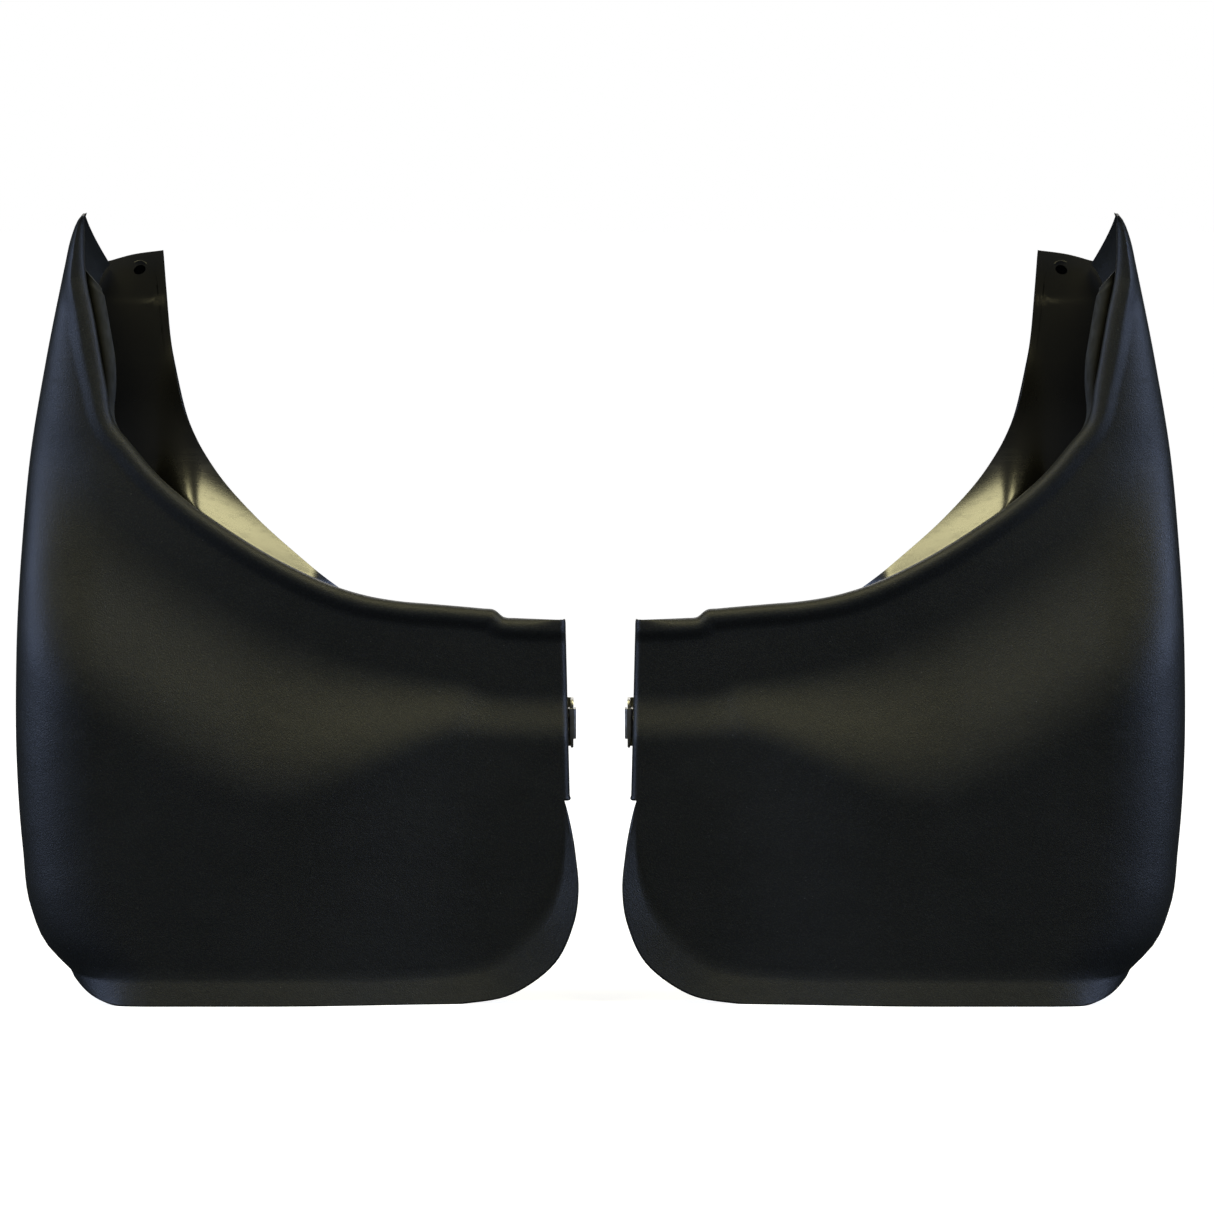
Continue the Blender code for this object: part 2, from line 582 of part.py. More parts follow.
def make_fixings(label, side):
    seat = PANEL_Y + PANEL_WALL + GAP
    for name, place in PANEL_SCREWS.items():
        mesh = turned(f"{label}_panel_screw_{name}", screw_profile(4.6, 3.0, 17.0, SCREW_RADIUS))
        add_object(f"{label}_panel_screw_{name}", mesh, "zinc", at(side, place, seat))
    for name, place in BRACKET_SCREWS.items():
        mesh = turned(f"{label}_bracket_screw_{name}", screw_profile(4.2, 2.6, 9.0, SCREW_RADIUS))
        add_object(f"{label}_bracket_screw_{name}", mesh, "zinc", at(side, place, seat))
    washer = [(2.5, 0), (7.0, 0), (7.0, 1.4), (2.5, 1.4)]
    mesh = ring(f"{label}_arch_washer", washer)
    add_object(f"{label}_arch_washer", mesh, "zinc", at(side, ARCH_SCREW, seat))
    mesh = turned(f"{label}_arch_screw", screw_profile(5.0, 3.6, 20.0, SCREW_RADIUS))
    add_object(f"{label}_arch_screw", mesh, "zinc", at(side, ARCH_SCREW, seat + 1.4 + GAP))
    for name, place in RIVETS.items():
        body = [(2.0, -12.0), (RIVET_RADIUS * 0.8, -12.0), (RIVET_RADIUS, -9.0), (RIVET_RADIUS, 0.0),
                (9.0, 0.0), (8.2, 1.9), (2.0, 2.2)]
        mesh = ring(f"{label}_rivet_body_{name}", body)
        add_object(f"{label}_rivet_body_{name}", mesh, "clip", at(side, place, seat))
        pin = [(0, -15.0), (0.9, -14.5), (1.7, -11.0), (1.7, 2.5), (5.6, 2.5), (4.6, 4.2), (0, 4.6)]
        mesh = turned(f"{label}_rivet_pin_{name}", pin)
        add_object(f"{label}_rivet_pin_{name}", mesh, "clip", at(side, place, seat))


def ring(name, profile, sides=12):
    """A closed ring of revolution about local Y from (radius, y) points in mm."""
    count = len(profile)
    points = []
    faces = []
    for k in range(sides):
        turn = 2 * math.pi * k / sides
        for radius, y in profile:
            points.append((radius * MM * math.cos(turn), y * MM, radius * MM * math.sin(turn)))
    for k in range(sides):
        for i in range(count):
            a = k * count + i
            b = k * count + (i + 1) % count
            c = (k + 1) % sides * count
            faces.append((a, b, c + (i + 1) % count, c + i))
    return outward_mesh(name, points, faces)


def plate(name, low, high, thin_axis, radius):
    """A plate between two corners in mm, its outline's corners rounded, as a mesh in metres."""
    axes = [k for k in range(3) if k != thin_axis]
    points = []
    for depth in (low[thin_axis], high[thin_axis]):
        for quarter in range(4):
            u_high = quarter in (0, 3)
            v_high = quarter in (0, 1)
            centre_u = high[axes[0]] - radius if u_high else low[axes[0]] + radius
            centre_v = high[axes[1]] - radius if v_high else low[axes[1]] + radius
            for k in range(5):
                turn = math.pi / 2 * (quarter + k / 4)
                point = [0.0, 0.0, 0.0]
                point[thin_axis] = depth * MM
                point[axes[0]] = (centre_u + radius * math.cos(turn)) * MM
                point[axes[1]] = (centre_v + radius * math.sin(turn)) * MM
                points.append(tuple(point))
    count = len(points) // 2
    faces = [tuple(range(count)), tuple(range(count, 2 * count))]
    faces += [(k, (k + 1) % count, count + (k + 1) % count, count + k) for k in range(count)]
    return outward_mesh(name, points, faces)


def across_pair(side, a_from, a_to):
    """World X limits in mm, in rising order, of two distances outboard."""
    return tuple(sorted((side * a_from, side * a_to)))


def turned_across(name, profile, side, place):
    """A cutter turned about an axis along X at (y, z)."""
    cutter = helper(name, turned(name, profile, 16), (0.0, place[0] * MM, place[1] * MM))
    cutter.rotation_euler = (0.0, 0.0, -side * math.pi / 2)
    return cutter


def make_bracket(label, side):
    front = PANEL_Y - GAP
    x_low, x_high = across_pair(side, *BRACKET_LEG_A)
    leg = plate("leg", (x_low, front - BRACKET_SHEET, BRACKET_Z[0]), (x_high, front, BRACKET_Z[1]),
                1, 6.0)
    bracket = add_object(f"{label}_inboard_bracket", leg, "zinc")
    x_low, x_high = across_pair(side, BRACKET_LEG_A[0], BRACKET_LEG_A[0] + BRACKET_SHEET)
    nut_leg = plate("nut_leg", (x_low, BRACKET_LEG_Y, BRACKET_Z[0]), (x_high, front, BRACKET_Z[1]),
                    0, 5.0)
    boolean(bracket, helper(f"{label}_nut_leg", nut_leg), "UNION")
    for name, place in BRACKET_SCREWS.items():
        profile = [(0, 20.0), (HOLE_RADIUS, 20.0), (HOLE_RADIUS, 50.0), (0, 50.0)]
        cutter = helper(f"{label}_bracket_hole_{name}", turned("hole", profile, 16), at(side, place))
        boolean(bracket, cutter, "DIFFERENCE")
    profile = [(0, 5.0), (3.4, 5.0), (3.4, 30.0), (0, 30.0)]
    boolean(bracket, turned_across(f"{label}_nut_hole", profile, side, NUT_PLACE), "DIFFERENCE")
    return bracket


def make_spring_nut(label, side):
    """A U of sheet steel over the bracket's rear edge, with a collar for the thread."""
    near = BRACKET_LEG_A[0] - GAP
    far = BRACKET_LEG_A[0] + BRACKET_SHEET + GAP
    back = BRACKET_LEG_Y - GAP
    long_arm = NUT_PLACE[0] + 7.5
    short_arm = NUT_PLACE[0] + 6.0
    outline = [(near - NUT_SHEET, back - NUT_SHEET), (far + NUT_SHEET, back - NUT_SHEET),
               (far + NUT_SHEET, long_arm), (far, long_arm), (far, back), (near, back),
               (near, short_arm), (near - NUT_SHEET, short_arm)]
    points = [(side * a * MM, y * MM, (NUT_PLACE[1] + z) * MM) for z in (-8.0, 8.0)
              for a, y in outline]
    count = len(outline)
    faces = [tuple(range(count)), tuple(range(count, 2 * count))]
    faces += [(k, (k + 1) % count, count + (k + 1) % count, count + k) for k in range(count)]
    mesh = outward_mesh(f"{label}_spring_nut", points, faces)
    nut = add_object(f"{label}_spring_nut", mesh, "zinc")
    collar = [(0, far + 0.5), (4.2, far + 0.5), (3.8, far + 3.4), (0, far + 3.4)]
    boolean(nut, turned_across(f"{label}_collar", collar, side, NUT_PLACE), "UNION")
    thread = [(0, 5.0), (2.5, 5.0), (2.5, 30.0), (0, 30.0)]
    boolean(nut, turned_across(f"{label}_thread", thread, side, NUT_PLACE), "DIFFERENCE")
    return nut


def make_pads(label, side):
    for name, (a_from, a_to, z_from, z_to) in PADS.items():
        x_low, x_high = across_pair(side, a_from, a_to)
        y_from = WALL + 2 * GAP
        mesh = plate(f"{label}_lip_pad_{name}", (x_low, y_from, z_from),
                     (x_high, y_from + PAD_THICKNESS, z_to), 1, 2.0)
        add_object(f"{label}_lip_pad_{name}", mesh, "foam")


def clear():
    for obj in list(bpy.data.objects):
        bpy.data.objects.remove(obj)


def main():
    clear()
    for label, side in (("left", -1), ("right", 1)):
        make_shell(label, side)
        make_panel(label, side)
        make_seal(label, side)
        make_bracket(label, side)
        make_spring_nut(label, side)
        make_pads(label, side)
        make_fixings(label, side)
    for obj in bpy.data.objects:
        obj.location.y -= DEPTH_CENTRE * MM


main()
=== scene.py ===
"""Looks for the handed pair of moulded mud flaps.

Each CAD piece is rebuilt here in full detail at its place and rides on its body. Shapes are worked
out for the left flap as (a, y, z) in millimetres, where a is the distance outboard from the plane
of symmetry, and mirrored for the right flap.
"""

import math

import bmesh
import bpy
import numpy as np
from mathutils import Matrix, Vector
from mathutils.bvhtree import BVHTree


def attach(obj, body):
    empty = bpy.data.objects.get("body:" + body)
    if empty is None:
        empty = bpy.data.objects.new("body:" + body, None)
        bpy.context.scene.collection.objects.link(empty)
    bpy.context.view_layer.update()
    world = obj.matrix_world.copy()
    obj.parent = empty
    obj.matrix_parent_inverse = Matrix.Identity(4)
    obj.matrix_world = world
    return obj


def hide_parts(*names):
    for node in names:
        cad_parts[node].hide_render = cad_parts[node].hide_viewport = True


MM = 0.001
LEFT = -1
RIGHT = 1
LABELS = {LEFT: "left", RIGHT: "right"}
GAP = 0.3  # clearance between touching pieces
WALL = 2.8  # moulded wall of the shell
PANEL_WALL = 2.4  # moulded wall of the wheel-side panel

# Wheel side: the panel is flat up to axle height, then follows the wheel arch.
PANEL_Y = 34.0
AXLE_Z = 230.0
ARCH_RADIUS = 420.0
PANEL_FOOT_Z = 40.0
TAB_Z = 372.0  # above this height the tab is flat
RAMP_START = 19.0  # depth where the panel's ramp leaves the lip
RAMP_RISE = 18.0
RAMP_LENGTH = 38.0
DEPTH_CENTRE = 19.8  # middle of the pair's depth, which the world origin stands below

# Rear face
CREST_DROP = 27.0  # how far the face stands behind the lip, outboard
CREST_DROP_INBOARD = 7.0
RIM_KICK = 5.0  # flare of the bottom rim
HORN_Z = 290.0  # the horn starts to differ from the lip here
HORN_BLEND = 60.0
HORN_LEAN = 14.0  # the horn's tip leans forward
HORN_TOP_FALL = 27.0  # the side wall's top edge falls towards the front
LIP_ROLL = 5.5  # radius of the rolled lip
HORN_ROLL = 8.0  # its width on the horn
HORN_ROLL_DEPTH = 3.5
LIP_FLANGE = 4.0  # straight flange past the roll
EDGE_ROLL = 0.6  # what is left of the roll at both ends of the lip
TIP_LENGTH = 0.03  # shares of the lip over which the roll grows from its two ends
INBOARD_LENGTH = 0.05
BEAD_HEIGHT = 1.8  # how far the rolled lip stands behind the face next to it
BEAD_WIDTH = 7.0
INBOARD_RADIUS = 3.5  # corner between the face and the inboard return

# Fixings, all along Y and fitted from the wheel side: places as (a, z)
PANEL_SCREWS = {"inner": (62.0, 84.0), "middle": (168.0, 72.0), "outer": (262.0, 120.0)}
RIVETS = {"inner": (66.0, 186.0), "outer": (122.0, 190.0)}
ARCH_SCREW = (94.0, 178.0)
BRACKET_SCREWS = {"lower": (33.0, 142.0), "upper": (41.0, 154.0)}
BOSS_RADIUS = 5.0
SCREW_RADIUS = 2.1
HOLE_RADIUS = 2.6
RIVET_RADIUS = 3.6
TAB_HOLE = (249.4, 391.0)
TAB_HOLE_SIZE = (6.4, 5.0)

TAB_SOCKET_END = 70.0  # depth where the blind screw socket of the tab ends
TAB_BOSS_RADIUS = 5.2
TAB_BOSS_END = 71.3

# Inboard bracket: one leg behind the panel's inboard edge, one across the pair for the nut
BRACKET_SHEET = 1.5
BRACKET_LEG_A = (14.5, 47.0)  # extent across, of the leg on the panel
BRACKET_LEG_Y = 12.0  # rear edge of the leg that carries the nut
BRACKET_Z = (135.0, 161.0)
NUT_PLACE = (21.0, 148.0)  # (y, z) of the nut's thread axis
NUT_SHEET = 1.1

# Foam pads behind the lip: (a from, a to, z from, z to)
PADS = {"inner": (36.0, 76.0, 180.0, 193.0), "outer": (88.0, 124.0, 186.0, 199.0)}
PAD_THICKNESS = 5.0

SEAL_RADIUS = 3.0

# Points on the outlines, (a, z) or (height, a)
SILHOUETTE = [(16.6, 284.0), (28.5, 295.6), (50, 305.3), (82, 309.6), (130, 312.8), (184, 312.8),
              (238, 310.7), (292, 306.4), (340, 298.3), (382, 289.8), (396, 286.8), (405, 284.9),
              (412.5, 282.6), (418, 280.2), (421.5, 277.4)]
LIP_EDGE = [(276.6, 421.5), (275.8, 388), (271.6, 367), (265, 331), (260, 309), (252, 299),
            (236.5, 281), (223, 269), (202, 254), (167.8, 233.6), (139.3, 221), (124, 216.7),
            (107.7, 214), (90, 212.5), (63, 210.1), (57.2, 209.5), (51.4, 205.4), (46, 205),
            (22, 204.4)]
CREASE = [(284, 16.6), (276.5, 15.4), (265, 14.5), (249, 14.2), (236, 14.2), (161, 14.2),
          (104, 14.2), (78, 15.6), (58, 20.5), (42.7, 32), (29.5, 46), (22.3, 62), (19.4, 80),
          (19.9, 110)]
RIM = [(283, 14.6), (275.5, 7.4), (264, 1.6), (248, 0), (236, 0), (161, 0), (104, 0), (72, 0.5),
       (47, 5.4), (25.5, 21), (15.4, 42), (12.8, 60), (14.4, 79), (19.4, 108.6)]
PANEL_EDGE = [(237, 401.5), (234.8, 378), (230.6, 343), (222, 309.5), (207, 283), (186, 259),
              (159, 235), (139.3, 219)]


# ---- outlines and surfaces of the mouldings, the same as the CAD pieces'

def ease(value):
    """Smooth step from 0 to 1."""
    t = np.clip(value, 0.0, 1.0)
    return t * t * (3.0 - 2.0 * t)


def blend(first, last, share):
    return first + (last - first) * share


def unit(vectors):
    return vectors / np.maximum(np.linalg.norm(vectors, axis=-1), 1e-9)[..., None]


def spline(knots, points, t):
    """Cubic Hermite curve through the points at the given knots, evaluated at t."""
    knots = np.asarray(knots, float)
    points = np.asarray(points, float)
    if points.ndim == 1:
        points = points[:, None]
    step = np.diff(knots)[:, None]
    slope = np.diff(points, axis=0) / step
    tangent = np.vstack([slope[:1], (slope[:-1] * step[1:] + slope[1:] * step[:-1])
                         / (step[1:] + step[:-1]), slope[-1:]])
    t = np.clip(np.asarray(t, float), knots[0], knots[-1])
    i = np.clip(np.searchsorted(knots, t, side="right") - 1, 0, len(knots) - 2)
    h = step[i]
    f = ((t - knots[i])[..., None]) / h
    return ((2 * f ** 3 - 3 * f ** 2 + 1) * points[i] + (f ** 3 - 2 * f ** 2 + f) * h * tangent[i]
            + (3 * f ** 2 - 2 * f ** 3) * points[i + 1] + (f ** 3 - f ** 2) * h * tangent[i + 1])


def chord_knots(points):
    """Knots from 0 to 1 by distance along the points."""
    lengths = np.linalg.norm(np.diff(np.asarray(points, float), axis=0), axis=1)
    knots = np.concatenate([[0.0], np.cumsum(lengths)])
    return knots / knots[-1]


def along(points, t):
    return spline(chord_knots(points), points, t)


def silhouette_at(z):
    heights, reach = zip(*SILHOUETTE)
    return spline(heights, reach, z)[..., 0]


def coons(left, right, bottom, top, u, v, reach=1.0):
    """The patch between four boundary curves; reach keeps the top curve's shape near it."""
    u = u[None, :, None]
    v = v[:, None, None]
    across = blend(left[:, None, :], right[:, None, :], u)
    bottom_bow = bottom[None] - blend(bottom[0], bottom[-1], u)
    top_bow = top[None] - blend(top[0], top[-1], u)
    return across + (1 - v) * bottom_bow + v ** reach * top_bow


def relaxed(flat, share, rounds):
    """The patch with its rows and columns evened out, so that none cross; the edges stay."""
    flat = flat.copy()
    for _ in range(rounds):
        east = flat[1:-1, 2:]
        west = flat[1:-1, :-2]
        north = flat[2:, 1:-1]
        south = flat[:-2, 1:-1]
        run = (east - west) / 2
        rise = (north - south) / 2
        twist = (flat[2:, 2:] - flat[2:, :-2] - flat[:-2, 2:] + flat[:-2, :-2]) / 4
        alpha = (rise ** 2).sum(-1, keepdims=True)
        beta = (run * rise).sum(-1, keepdims=True)
        gamma = (run ** 2).sum(-1, keepdims=True)
        even = (alpha * (east + west) + gamma * (north + south) - 2 * beta * twist)
        even /= np.maximum(2 * (alpha + gamma), 1e-9)
        flat[1:-1, 1:-1] += share[1:-1, None, None] * (even - flat[1:-1, 1:-1])
    return flat


def lip_distance(points):
    """Signed distance of (a, z) points from the lip's edge, positive on its open side."""
    curve = along(LIP_EDGE, np.linspace(0, 1, 160))
    start = curve[:-1]
    run = np.diff(curve, axis=0)
    flat = points.reshape(-1, 1, 2)
    share = np.clip(((flat - start) * run).sum(-1) / (run ** 2).sum(-1), 0, 1)
    offset = flat - (start + share[..., None] * run)
    distance = np.linalg.norm(offset, axis=-1)
    nearest = distance.argmin(axis=1)
    rows = np.arange(len(flat))
    side = run[nearest, 0] * offset[rows, nearest, 1] - run[nearest, 1] * offset[rows, nearest, 0]
    return (np.sign(-side) * distance[rows, nearest]).reshape(points.shape[:-1])


def arch_y(z):
    """Depth of the wheel-side surface at a height."""
    rise = np.clip(np.minimum(z, TAB_Z) - AXLE_Z, 0, None)
    slope = (TAB_Z - AXLE_Z) / math.sqrt(ARCH_RADIUS ** 2 - (TAB_Z - AXLE_Z) ** 2)
    flat = np.clip(z - TAB_Z, 0, None) * slope
    return PANEL_Y + ARCH_RADIUS - np.sqrt(ARCH_RADIUS ** 2 - rise ** 2) + flat


def wall_lean(z):
    """How far inboard the side wall's front edge stands from the silhouette."""
    return 5.0 + 5.5 * ease((z - 200.0) / 200.0)


def horn_share(z):
    """0 below the horn, 1 well up on it."""
    return ease((z - HORN_Z) / HORN_BLEND)


def shell_grid(across, up, wall, returns, roll):
    """Outer surface of the shell as rows of (a, y, z): rim rows, then face rows, then the roll.

    across: face positions from outboard 0 to inboard 1. up: face positions from the crease 0
    to the lip 1. wall: positions along the side wall from its front edge 1 to the corner 0.
    returns: (angle in degrees, flange) of the inboard return. roll: angles round the lip.
    """
    knots = chord_knots(CREASE)
    bottom = spline(knots, CREASE, across)
    rim = spline(knots, RIM, across)
    edge = along(LIP_EDGE, across)
    ahead = along(LIP_EDGE, np.clip(across + 0.02, 0, 1))
    behind = along(LIP_EDGE, np.clip(across - 0.02, 0, 1))
    tangent = unit(ahead - behind)
    horn = horn_share(edge[:, 1])
    tip = ease(across / TIP_LENGTH)
    inboard_end = ease((1.0 - across) / INBOARD_LENGTH)
    roll_width = blend(LIP_ROLL, HORN_ROLL, horn)
    horn_width = np.clip(silhouette_at(edge[:, 1]) - edge[:, 0], 1.0, None)
    roll_width = np.minimum(blend(EDGE_ROLL, roll_width, tip), 0.62 * horn_width)
    roll_depth = blend(LIP_ROLL, HORN_ROLL_DEPTH, horn)
    roll_depth = blend(EDGE_ROLL, roll_depth, tip * inboard_end)
    flange = blend(EDGE_ROLL, LIP_FLANGE, tip * inboard_end)
    inward = np.stack([-tangent[:, 1], tangent[:, 0]], axis=1)
    top = edge - inward * roll_width[:, None] * np.sign(inward[-1, 1])
    top[0, 0] = silhouette_at(top[0, 1])
    left_z = blend(SILHOUETTE[0][0], top[0, 1], up)
    left = np.stack([silhouette_at(left_z), left_z], axis=1)
    left[0] = bottom[0]
    left[-1] = top[0]
    right = blend(bottom[-1], top[-1], up[:, None])
    face = coons(left, right, bottom, top, across, up, 3.0)
    face = relaxed(face, ease((up - 0.5) / 0.2), RELAX_ROUNDS)

    below_lip = -lip_distance(face) - LIP_ROLL
    inboard = 0.5 + (180.0 - face[..., 0]) / 320.0
    drop = blend(CREST_DROP, CREST_DROP_INBOARD, ease((inboard - 0.5) / 0.42))
    start = 26.0 + 8.0 * ease((inboard - 0.5) / 0.4)
    run = 92.0 - 66.0 * ease((inboard - 0.45) / 0.45)
    lean = HORN_LEAN * ease((face[..., 1] - AXLE_Z) / 190.0)
    depth = lean - drop * ease((below_lip - start) / run)
    past_bead = below_lip - (HORN_ROLL - LIP_ROLL) * horn_share(face[..., 1])
    depth = depth - BEAD_HEIGHT * (1.0 - ease(past_bead / BEAD_WIDTH))

    reach = silhouette_at(face[..., 1])
    room = reach - spline(*zip(*sorted((z, a) for a, z in LIP_EDGE[:5])), face[..., 1])[..., 0]
    narrow = ease((face[..., 1] - 285.0) / 30.0)
    width = blend(46.0, np.clip(0.8 * room, 2.0, 46.0), narrow)
    height = 30.0 - 21.0 * ease((face[..., 1] - 250.0) / 150.0)
    outboard = np.clip(1.0 - (reach - face[..., 0]) / width, 0.0, 1.0)
    depth = depth + height * (1.0 - np.sqrt(1.0 - outboard ** 2))

    kick = RIM_KICK * ease(across / 0.09) * ease((1.0 - across) / 0.2)
    rows = []
    for share in RIM_SHARES:
        flat = blend(rim, bottom, share)
        rows.append(np.stack([flat[:, 0], depth[0] - kick * (1 - share), flat[:, 1]], axis=1))
    rows += list(np.stack([face[..., 0], depth, face[..., 1]], axis=-1))
    grid = np.array(rows)

    # Side wall: forward from the corner to the arch line, leaning inboard.
    corner = grid[:, :1]
    share = wall[None, :, None]
    high = ease((corner[..., 2:] - 330.0) / 90.0)
    front_z = corner[..., 2:] - HORN_TOP_FALL * high
    front_y = arch_y(front_z) + PANEL_WALL - 6.0 * ease((front_z - 360.0) / 30.0)
    front_a = corner[..., :1] - wall_lean(corner[..., 2:])
    front = np.concatenate([front_a, front_y, front_z], axis=-1)
    side = blend(corner, front, share)
    side[..., 0] = blend(corner[..., 0], front[..., 0], wall[None] ** 1.3)

    # Inboard return: a small radius, then a flange forward.
    last = grid[:, -1:]
    ends = []
    for angle, straight in returns:
        turn = math.radians(angle)
        forward = INBOARD_RADIUS * (1 - math.cos(turn)) + straight
        ends.append(last + np.array([-INBOARD_RADIUS * math.sin(turn), forward, 0]))
    grid = np.concatenate([side, grid] + ends, axis=1)

    # Rolled lip along the last row, turning towards the inside of the shell.
    inside = -grid_normals(grid)[-1]
    count = side.shape[1]
    inside[count:count + len(across)] = (0.0, 1.0, 0.0)
    outward = np.zeros_like(inside)
    outward[:count, 2] = EDGE_ROLL
    outward[count:count + len(across), 0] = (edge - top)[:, 0]
    outward[count:count + len(across), 2] = (edge - top)[:, 1]
    outward[count + len(across):] = outward[count + len(across) - 1]
    roll_depth, flange = [np.pad(width, (count, len(returns)), constant_values=EDGE_ROLL)
                          for width in (roll_depth, flange)]
    base = grid[-1]
    rolled = []
    for angle in roll:
        turn = math.radians(angle)
        rolled.append(base + outward * math.sin(turn)
                      + inside * (roll_depth * (1 - math.cos(turn)))[:, None])
    rolled.append(rolled[-1] + inside * flange[:, None])
    return np.concatenate([grid, np.array(rolled)], axis=0)


def panel_depth(points):
    """Depth of the panel's rear side: flat, a ramp beside the lip, and the arch above."""
    a = points[..., 0]
    z = points[..., 1]
    beyond = lip_distance(points)
    near = ease((a - 134.0) / 22.0) * (1.0 - ease((a - 214.0) / 26.0))
    near = near * (1.0 - ease((z - 320.0) / 40.0))
    share = np.clip((beyond + 1.0) / RAMP_LENGTH, 0.0, 1.0)
    climb = RAMP_START + RAMP_RISE * (2.0 * share - share ** 2)
    below = ease((beyond + 60.0) / 52.0)
    ramp = blend(PANEL_Y, climb, below)
    return blend(arch_y(z), ramp, near)


def panel_grid(across, up):
    """Rear surface of the wheel-side panel; across runs from outboard 0 to inboard 1."""
    tab = [(266.6, 395.6), (253.5, 399.2), PANEL_EDGE[0]]
    hidden = [PANEL_EDGE[-1], (128, 208), (110, 203), (26, 197)]
    tab_end, edge_end = 0.16, 0.72
    top = np.array([
        along(tab, s / tab_end) if s <= tab_end
        else along(PANEL_EDGE, (s - tab_end) / (edge_end - tab_end)) if s <= edge_end
        else along(hidden, (s - edge_end) / (1 - edge_end)) for s in across])
    left_z = blend(PANEL_FOOT_Z, top[0, 1], up)
    wall_z = left_z + HORN_TOP_FALL * ease((left_z - 300.0) / 90.0)
    left = np.stack([silhouette_at(wall_z) - wall_lean(wall_z) - WALL - 1.4, left_z], axis=1)
    left[:, 0] += 5.0 * ease((left_z - 378.0) / 10.0)
    left[-1] = top[0]
    right = np.stack([np.full(len(up), 26.0), blend(PANEL_FOOT_Z, top[-1, 1], up)], axis=1)
    bottom = blend(left[0], right[0], across[:, None])
    flat = coons(left, right, bottom, top, across, up)
    return np.stack([flat[..., 0], panel_depth(flat), flat[..., 1]], axis=-1)


def panel_normals(rear):
    """Unit normals of the panel's rear side, from the slope of its depth."""
    flat = rear[..., [0, 2]]
    slope_a, slope_z = [(panel_depth(flat + step) - panel_depth(flat - step)) / (2 * PROBE)
                        for step in PROBE * np.eye(2)]
    return unit(np.stack([slope_a, np.full(slope_a.shape, -1.0), slope_z], axis=-1))


def grid_normals(grid):
    """Unit normals of a grid, pointing to the rear for a grid that runs inboard and up."""
    return unit(np.cross(np.gradient(grid, axis=0), np.gradient(grid, axis=1)))


def shell_inner(outer):
    """Inner surface of the shell; the wall thins towards the horn's tip."""
    from_tip = np.hypot(outer[..., 0] - LIP_EDGE[0][0], outer[..., 2] - LIP_EDGE[0][1])
    wall = WALL * (0.4 + 0.6 * ease(from_tip / 70.0))
    normals = grid_normals(outer)
    normals[:RIM_ROWS] = normals[RIM_ROWS]
    inner = outer - normals * wall[..., None]
    inner[0, :, 2] = outer[0, :, 2]
    return inner


# ---- sampling of the detailed mouldings

RELAX_ROUNDS = 300
LIP_STEP = chord_knots(LIP_EDGE)[-4:-2]
RIM_SHARES = (0.0, 0.12, 0.3, 0.55, 0.8)
RIM_ROWS = len(RIM_SHARES)
ACROSS_RUN = np.linspace(0, 1, 150)
FACE_ACROSS = np.unique(np.concatenate([0.5 * ACROSS_RUN ** 2 + 0.5 * ACROSS_RUN,
                                        np.linspace(LIP_STEP[0] - 0.02, LIP_STEP[1] + 0.02, 16)]))
UP_RUN = np.linspace(0, 1, 84)
FACE_UP = UP_RUN * (1.3 - 0.3 * UP_RUN)
SIDE_WALL = np.linspace(1, 0, 13)[:-1]
INBOARD_RETURN = tuple((angle, 0.0) for angle in (15, 30, 45, 60, 75, 90)) + (
    (90, 1.5), (90, 4.0), (90, 6.5), (90, 8.0))
ROLL_ANGLES = tuple(range(10, 91, 10))
EDGE_STEPS = 4  # facets round a sheet's edge
SHARP_ANGLE = 40.0
PROBE = 0.25  # step for the slope of the panel's depth


# ---- mesh helpers

def scene_mesh(name, points, faces):
    """A mesh from (a, y, z) points in mm for the left flap, in world metres, faces outwards."""
    array = np.asarray(points, float)
    world = np.stack([LEFT * array[:, 0], array[:, 1] - DEPTH_CENTRE, array[:, 2]], axis=1) * MM
    mesh = bpy.data.meshes.new(name)
    mesh.from_pydata(world.tolist(), [], faces)
    shape = bmesh.new()
    shape.from_mesh(mesh)
    bmesh.ops.recalc_face_normals(shape, faces=shape.faces)
    shape.to_mesh(mesh)
    shape.free()
    mesh.shade_smooth()
    return mesh


def rounded_sheet(name, front, back, bulge=0.35):
    """A closed sheet between two grids of one size, its edges rounded."""
    rows, columns = front.shape[:2]
    count = rows * columns
    points = [front.reshape(-1, 3), back.reshape(-1, 3)]
    number = np.arange(count).reshape(rows, columns)
    quads = np.stack([number[:-1, :-1], number[:-1, 1:], number[1:, 1:], number[1:, :-1]], axis=-1)
    faces = np.stack([quads, count + quads[..., [0, 3, 2, 1]]], axis=2).reshape(-1, 4).tolist()
    border = np.concatenate([number[0], number[1:, -1], number[-1, -2::-1], number[-2:0:-1, 0]])
    row, column = np.divmod(border, columns)
    border = border.tolist()
    loops = [border]
    outer = front.reshape(-1, 3)[border]
    inner = back.reshape(-1, 3)[border]
    inside = front[np.clip(row, 1, rows - 2), np.clip(column, 1, columns - 2)]
    middle = (outer + inner) / 2
    across = inner - outer
    thickness = np.linalg.norm(across, axis=1)[:, None]
    axis = unit(across)
    away = outer - inside
    away = unit(away - axis * (away * axis).sum(1)[:, None])
    start = 2 * count
    for k in range(1, EDGE_STEPS):
        turn = math.pi * k / EDGE_STEPS
        points.append(middle - across / 2 * math.cos(turn)
                      + away * (bulge * thickness * math.sin(turn)))
        loops.append(list(range(start, start + len(border))))
        start += len(border)
    loops.append([count + b for b in border])
    for here, following in zip(loops, loops[1:]):
        faces += band(here, following)
    return scene_mesh(name, np.concatenate(points), faces)


def circle(radius, y, sides):
    """Points of a ring about Y."""
    turns = [2 * math.pi * k / sides for k in range(sides)]
    return [(radius * math.cos(turn), y, radius * math.sin(turn)) for turn in turns]


